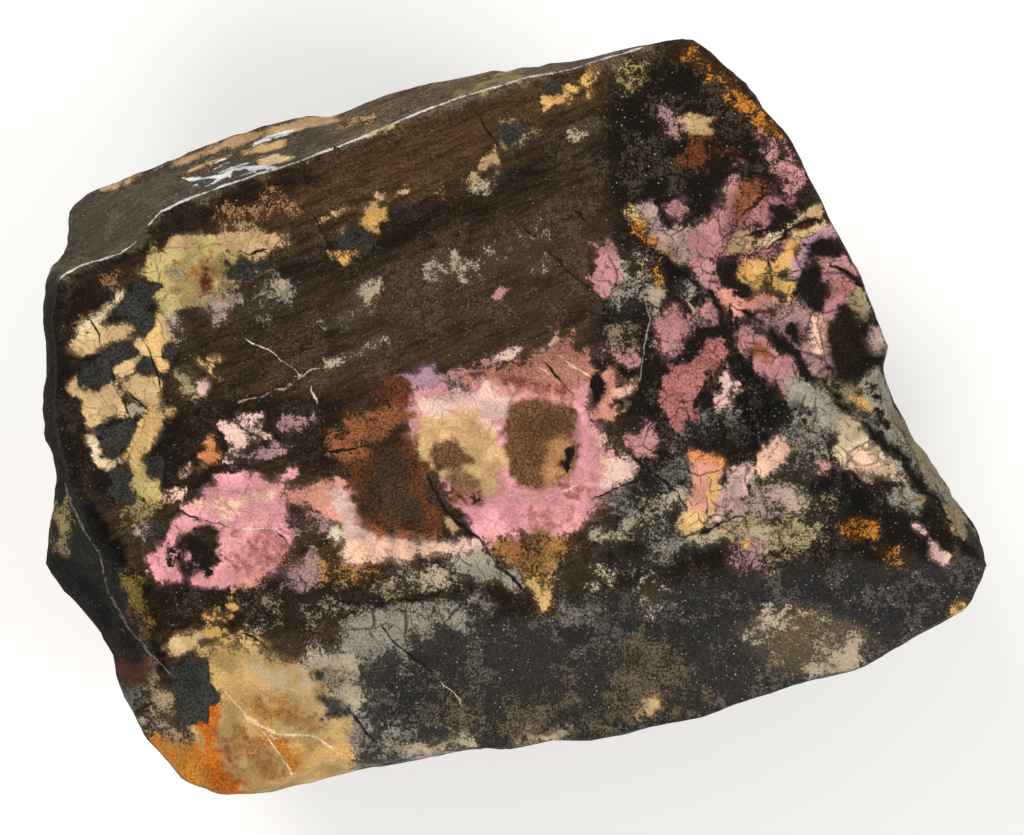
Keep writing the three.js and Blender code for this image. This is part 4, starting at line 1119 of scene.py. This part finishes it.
# A mineral laid over another, in soft edges and shares
SPECKLE_MIDDLE = 0.5
EDGE_BLUR = 0.8  # over which the grains of an edge fade
COVER_BLUR = 0.16  # over which the grains of a thin mineral fade
COVER_GAIN = 1.25  # share of the grains that a mineral covers, for its strength
CLOUD_SHADES = (0.78, 1.18)  # darker and lighter clouds, against the tint
DARK_MINERAL, PALE_MINERAL = 0.03, 0.35  # brightness
DARK_GRAINS, PALE_GRAINS = 0.7, 0.2  # how far the grains of such minerals stray from the tint
HAZE_REACH = (-0.5, 2.8)  # from the edge, where the haze is full and where it ends
HAZE_SHADE = 0.4


def mineral_group():
    """Lays one mineral over another along a granular edge, with lighter and darker grains of its own."""
    tree, given, result = group(
        "mineral_layer",
        {"Under": "Color", "Tint": "Color", "Strength": "Float", "Outside": "Float", "Speckle": "Float",
         "Cloud": "Float", "Fine": "Float", "Fray": "Float", "Haze": "Float"},
        {"Color": "Color"},
    )
    frayed = times(tree, minus(tree, given["Speckle"], SPECKLE_MIDDLE), given["Fray"])
    edge = span(tree, minus(tree, frayed, given["Outside"]), -EDGE_BLUR, EDGE_BLUR)
    bare = minus(tree, 1.0, times(tree, given["Strength"], COVER_GAIN))
    cover = span(tree, minus(tree, given["Speckle"], bare), -COVER_BLUR, COVER_BLUR)
    tint = varied(tree, given["Cloud"], given["Tint"], *CLOUD_SHADES)
    # The darker a mineral, the grainier
    brightness = add(tree, "ShaderNodeRGBToBW", {"Color": given["Tint"]}).outputs[0]
    depth = span(tree, brightness, DARK_MINERAL, PALE_MINERAL, DARK_GRAINS, PALE_GRAINS)
    tint = varied(tree, given["Fine"], tint, minus(tree, 1.0, depth), plus(tree, 1.0, depth))
    # A dusky haze where the mineral thins out into the one below
    haze = span(tree, given["Outside"], *HAZE_REACH, out_low=given["Haze"], out_high=0.0)
    dusk = shade(tree, tint, HAZE_SHADE)
    under = blend(tree, times(tree, haze, given["Strength"]), given["Under"], dusk)
    tree.links.new(blend(tree, times(tree, edge, cover), under, tint), result["Color"])
    return tree


CRACK_OPENS = (0.25, 0.6)  # grain at which a crack sets in and is full


def crack_group():
    """A net of cracks, wide where the grain is coarse and closed elsewhere."""
    tree, given, result = group(
        "crack_net",
        {"Vector": "Vector", "Scale": "Float", "Width": "Float", "Open": "Float"},
        {"Crack": "Float"},
    )
    inputs = {"Vector": given["Vector"], "Scale": given["Scale"]}
    cells = add(tree, "ShaderNodeTexVoronoi", inputs, feature="DISTANCE_TO_EDGE")
    width = times(tree, given["Width"], given["Open"])
    gap = minus(tree, 1.0, span(tree, cells.outputs["Distance"], 0.0, width))
    tree.links.new(times(tree, gap, span(tree, given["Open"], *CRACK_OPENS)), result["Crack"])
    return tree


# The stone's finish
LAYER_EDGES = (  # layer, fray in soft edges, share of haze
    ("patch", 4.0, 0.6),
    ("strip", 1.6, 0.0),
    ("inner", 4.0, 0.4),
    ("ink", 4.0, 0.4),
    ("line", 1.0, 0.0),
)
CRACK_NETS = (  # cells per millimetre, width as a share of a cell, grain that opens it
    (0.2, 0.045, "cloud"),
    (0.55, 0.085, "medium"),
)
GRAIN_CONTRAST, FINE_CONTRAST = (0.32, 0.68), (0.3, 0.7)  # noise that is darkest and palest
SPECKLE_COARSE, SPECKLE_FINE = 0.35, 0.3  # shares of the cloud and the medium grain, and of the fine one
BAND_STRETCH = (0.14, 1.0, 0.3)  # of the matrix's bands: long along the layers, thin across them
BAND_SHADES = (0.5, 1.5)  # darker and lighter bands, against the matrix
GRAIN_SHADES = (0.58, 1.42)  # darker and lighter grains, against the ground
MOTTLE_GRAIN, MOTTLE_STRENGTH = (0.52, 0.82), 0.66
MOTTLE_SHADE, MOTTLE_BROWN = 3.0, 0.4  # a mottle's lightness against the ground, and its share of brown
# Painted sparkle: bright dots that stand in for glints off tiny facets
DOTS_PER_MM, DOT_SIZE, DOT_SPREAD = 2.5, 0.31, 1.5  # the spread makes large dots rare
DOT_BLUR, DOT_STRENGTH = 0.12, 0.7
CRACK_STRENGTH = 0.85
THINNEST_CRUST = 0.45
ROUGH_SIDE, ROUGH_POLISH, ROUGH_GRAIN = 0.85, 0.16, 0.1


def stone_grains(tree):
    """The grains that the stone's colours share, and the place at which they are read, in millimetres."""
    here = add(tree, "ShaderNodeTexCoord").outputs["Object"]
    place = add(tree, "ShaderNodeVectorMath", {0: here, 3: MM}, operation="SCALE").outputs[0]
    cloud = attribute(tree, "cloud")
    medium = grain(tree, place, scale=1.5, detail=3.0, rough=0.65, distortion=0.4)
    medium = span(tree, medium, *GRAIN_CONTRAST)
    fine = span(tree, grain(tree, place, scale=4.6, detail=2.0, rough=0.7), *FINE_CONTRAST)
    coarse = times(tree, plus(tree, cloud, medium), SPECKLE_COARSE)
    speckle = plus(tree, coarse, times(tree, fine, SPECKLE_FINE))
    return {"place": place, "cloud": cloud, "medium": medium, "fine": fine, "speckle": speckle}


def ground_colour(tree, grains):
    """Banded matrix with brown mottles, then dark and pale grains and bright dots of painted sparkle."""
    ground = attribute(tree, "ground", "Color")
    flecks = attribute(tree, "flecks")
    turned = add(tree, "ShaderNodeMapping", {"Vector": grains["place"], "Rotation": (0.0, 0.0, -LAYER_RISE)})
    stretch = {0: turned.outputs[0], 1: BAND_STRETCH}
    bands = add(tree, "ShaderNodeVectorMath", stretch, operation="MULTIPLY").outputs[0]
    banding = grain(tree, bands, scale=1.3, detail=4.0, rough=0.66, distortion=0.9)
    banding = span(tree, banding, *GRAIN_CONTRAST)
    colour = blend(tree, attribute(tree, "streaks"), ground, varied(tree, banding, ground, *BAND_SHADES))
    mottle = times(tree, span(tree, grains["speckle"], *MOTTLE_GRAIN), flecks)
    grey_brown = blend(tree, MOTTLE_BROWN, shade(tree, ground, MOTTLE_SHADE), linear("smoke_brown"))
    colour = blend(tree, times(tree, mottle, MOTTLE_STRENGTH), colour, grey_brown)
    colour = varied(tree, grains["fine"], colour, *GRAIN_SHADES)
    # Painted sparkle: bright dots standing in for glints off tiny facets
    dots = add(tree, "ShaderNodeTexVoronoi", {"Vector": grains["place"], "Scale": DOTS_PER_MM}, feature="F1")
    size = times(tree, maths(tree, "POWER", dots.outputs["Color"], DOT_SPREAD), DOT_SIZE)
    dot = span(tree, minus(tree, size, dots.outputs["Distance"]), 0.0, DOT_BLUR)
    return blend(tree, times(tree, times(tree, dot, flecks), DOT_STRENGTH), colour, linear("grain"))


def with_minerals(tree, grains, colour):
    """The layers of minerals, one over the other."""
    mineral = mineral_group()
    for name, fray, haze in LAYER_EDGES:
        outside = attribute(tree, name)
        if name == "line":
            outside = minus(tree, maths(tree, "ABSOLUTE", outside), attribute(tree, "line_half"))
        inputs = {
            "Under": colour, "Outside": outside, "Fray": fray, "Haze": haze,
            "Tint": attribute(tree, name + "_tint", "Color"),
            "Strength": attribute(tree, name + "_tint", "Alpha"),
            "Speckle": grains["speckle"], "Cloud": grains["cloud"], "Fine": grains["fine"],
        }
        colour = add(tree, "ShaderNodeGroup", inputs, node_tree=mineral).outputs["Color"]
    return colour


def with_cracks(tree, grains, colour):
    """Fine dark cracks, in two sizes."""
    bent = attribute(tree, "bent", "Vector")
    cracked = attribute(tree, "cracked")
    net = crack_group()
    for scale, width, opened_by in CRACK_NETS:
        inputs = {"Vector": bent, "Scale": scale, "Width": width, "Open": grains[opened_by]}
        crack = add(tree, "ShaderNodeGroup", inputs, node_tree=net).outputs["Crack"]
        colour = blend(tree, times(tree, times(tree, crack, cracked), CRACK_STRENGTH), colour, linear("ink"))
    return colour


def with_crust(tree, grains, colour):
    """A weathered crust that dulls the broken sides."""
    uneven = span(tree, grains["cloud"], 0.0, 1.0, out_low=THINNEST_CRUST)
    share = times(tree, attribute(tree, "weathered"), uneven)
    crust = blend(tree, grains["speckle"], linear("dark_brown"), linear("crust_brown"))
    return blend(tree, share, colour, crust)


def stone_material():
    material = bpy.data.materials.new("rhodonite")
    material.use_nodes = True
    tree = material.node_tree
    tree.nodes.clear()
    grains = stone_grains(tree)
    colour = ground_colour(tree, grains)
    for finish in (with_minerals, with_cracks, with_crust):
        colour = finish(tree, grains, colour)
    polish = attribute(tree, "polish")
    roughness = span(tree, polish, 0.0, 1.0, out_low=ROUGH_SIDE, out_high=ROUGH_POLISH)
    roughness = plus(tree, roughness, times(tree, grains["fine"], ROUGH_GRAIN))
    relief = times(tree, grains["fine"], minus(tree, 1.0, polish))
    bump = add(tree, "ShaderNodeBump", {"Strength": 0.6, "Distance": 0.0004, "Height": relief})
    shader = add(tree, "ShaderNodeBsdfPrincipled", {
        "Base Color": colour,
        "Roughness": roughness,
        "Normal": bump.outputs["Normal"],
        "IOR": 1.6,
        "Specular IOR Level": 0.13,
    })
    add(tree, "ShaderNodeOutputMaterial", {"Surface": shader.outputs[0]})
    return material


def make_stone():
    mesh = stone_mesh()
    face = Face(read_points(mesh))
    roughen(mesh, face)
    mark(mesh, face)
    mesh.shade_smooth()
    mesh.set_sharp_from_angle(angle=SHARP_EDGE)
    mesh.materials.append(stone_material())
    stone = bpy.data.objects.new("rhodonite_stone_dressed", mesh)
    bpy.context.scene.collection.objects.link(stone)
    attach(stone, "root")
    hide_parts("rhodonite_stone")
    return face


# Studio: places and sizes in metres
FLOOR_HALF = 3.0
FLOOR_DROP = 0.0001  # below the stone's underside
FLOOR_FINISH = {
    "Base Color": (0.88, 0.91, 0.95, 1.0),
    "Roughness": 0.9,
    "Specular IOR Level": 0.0,
    "Emission Color": (1.0, 1.0, 1.0, 1.0),
    "Emission Strength": 0.22,
}
WARM_WHITE = (1.0, 0.95, 0.88)
ROOM_LIGHT = 0.3
SOFTBOXES = (  # name, place, size, watts
    ("key_softbox", (-0.65, 0.75, 0.75), 0.6, 11.0),
    ("fill_softbox", (0.85, -0.45, 0.7), 0.7, 8.0),
    ("front_softbox", (-0.35, -0.95, 0.6), 0.6, 5.0),
)
NEAREST_SEEN = 0.01


def make_floor():
    bm = bmesh.new()
    level = Matrix.Translation((0, 0, -FLOOR_DROP))
    bmesh.ops.create_grid(bm, x_segments=1, y_segments=1, size=FLOOR_HALF, matrix=level)
    mesh = bpy.data.meshes.new("floor")
    bm.to_mesh(mesh)
    bm.free()
    material = bpy.data.materials.new("pale_floor")
    material.use_nodes = True
    shader = material.node_tree.nodes["Principled BSDF"]
    for label, value in FLOOR_FINISH.items():
        shader.inputs[label].default_value = value
    mesh.materials.append(material)
    floor = bpy.data.objects.new("floor", mesh)
    bpy.context.scene.collection.objects.link(floor)


def make_lights():
    world = bpy.data.worlds.new("studio")
    world.use_nodes = True
    room = world.node_tree.nodes["Background"]
    room.inputs["Color"].default_value = (*WARM_WHITE, 1)
    room.inputs["Strength"].default_value = ROOM_LIGHT
    bpy.context.scene.world = world
    bpy.context.scene.view_settings.view_transform = "Standard"
    for name, place, size, watts in SOFTBOXES:
        light = bpy.data.lights.new(name, "AREA")
        light.shape = "SQUARE"
        light.size = size
        light.energy = watts
        light.color = WARM_WHITE
        lamp = bpy.data.objects.new(name, light)
        lamp.location = place
        lamp.rotation_euler = (-Vector(place)).to_track_quat("-Z", "Y").to_euler()
        bpy.context.scene.collection.objects.link(lamp)


def make_camera(face):
    """Looks square at the polished face, as the photograph does."""
    camera = bpy.data.cameras.new("camera")
    camera.lens = LENS
    camera.sensor_width = SENSOR
    camera.sensor_fit = "HORIZONTAL"
    camera.clip_start = NEAREST_SEEN
    viewer = bpy.data.objects.new("camera", camera)
    turn = Matrix((FACE_ACROSS, FACE_UP, FACE_OUT)).transposed().to_4x4()
    viewer.matrix_world = Matrix.Translation(Vector(face.place(CAMERA_DISTANCE))) @ turn
    bpy.context.scene.collection.objects.link(viewer)
    bpy.context.scene.camera = viewer


polished_face = make_stone()
make_floor()
make_lights()
make_camera(polished_face)
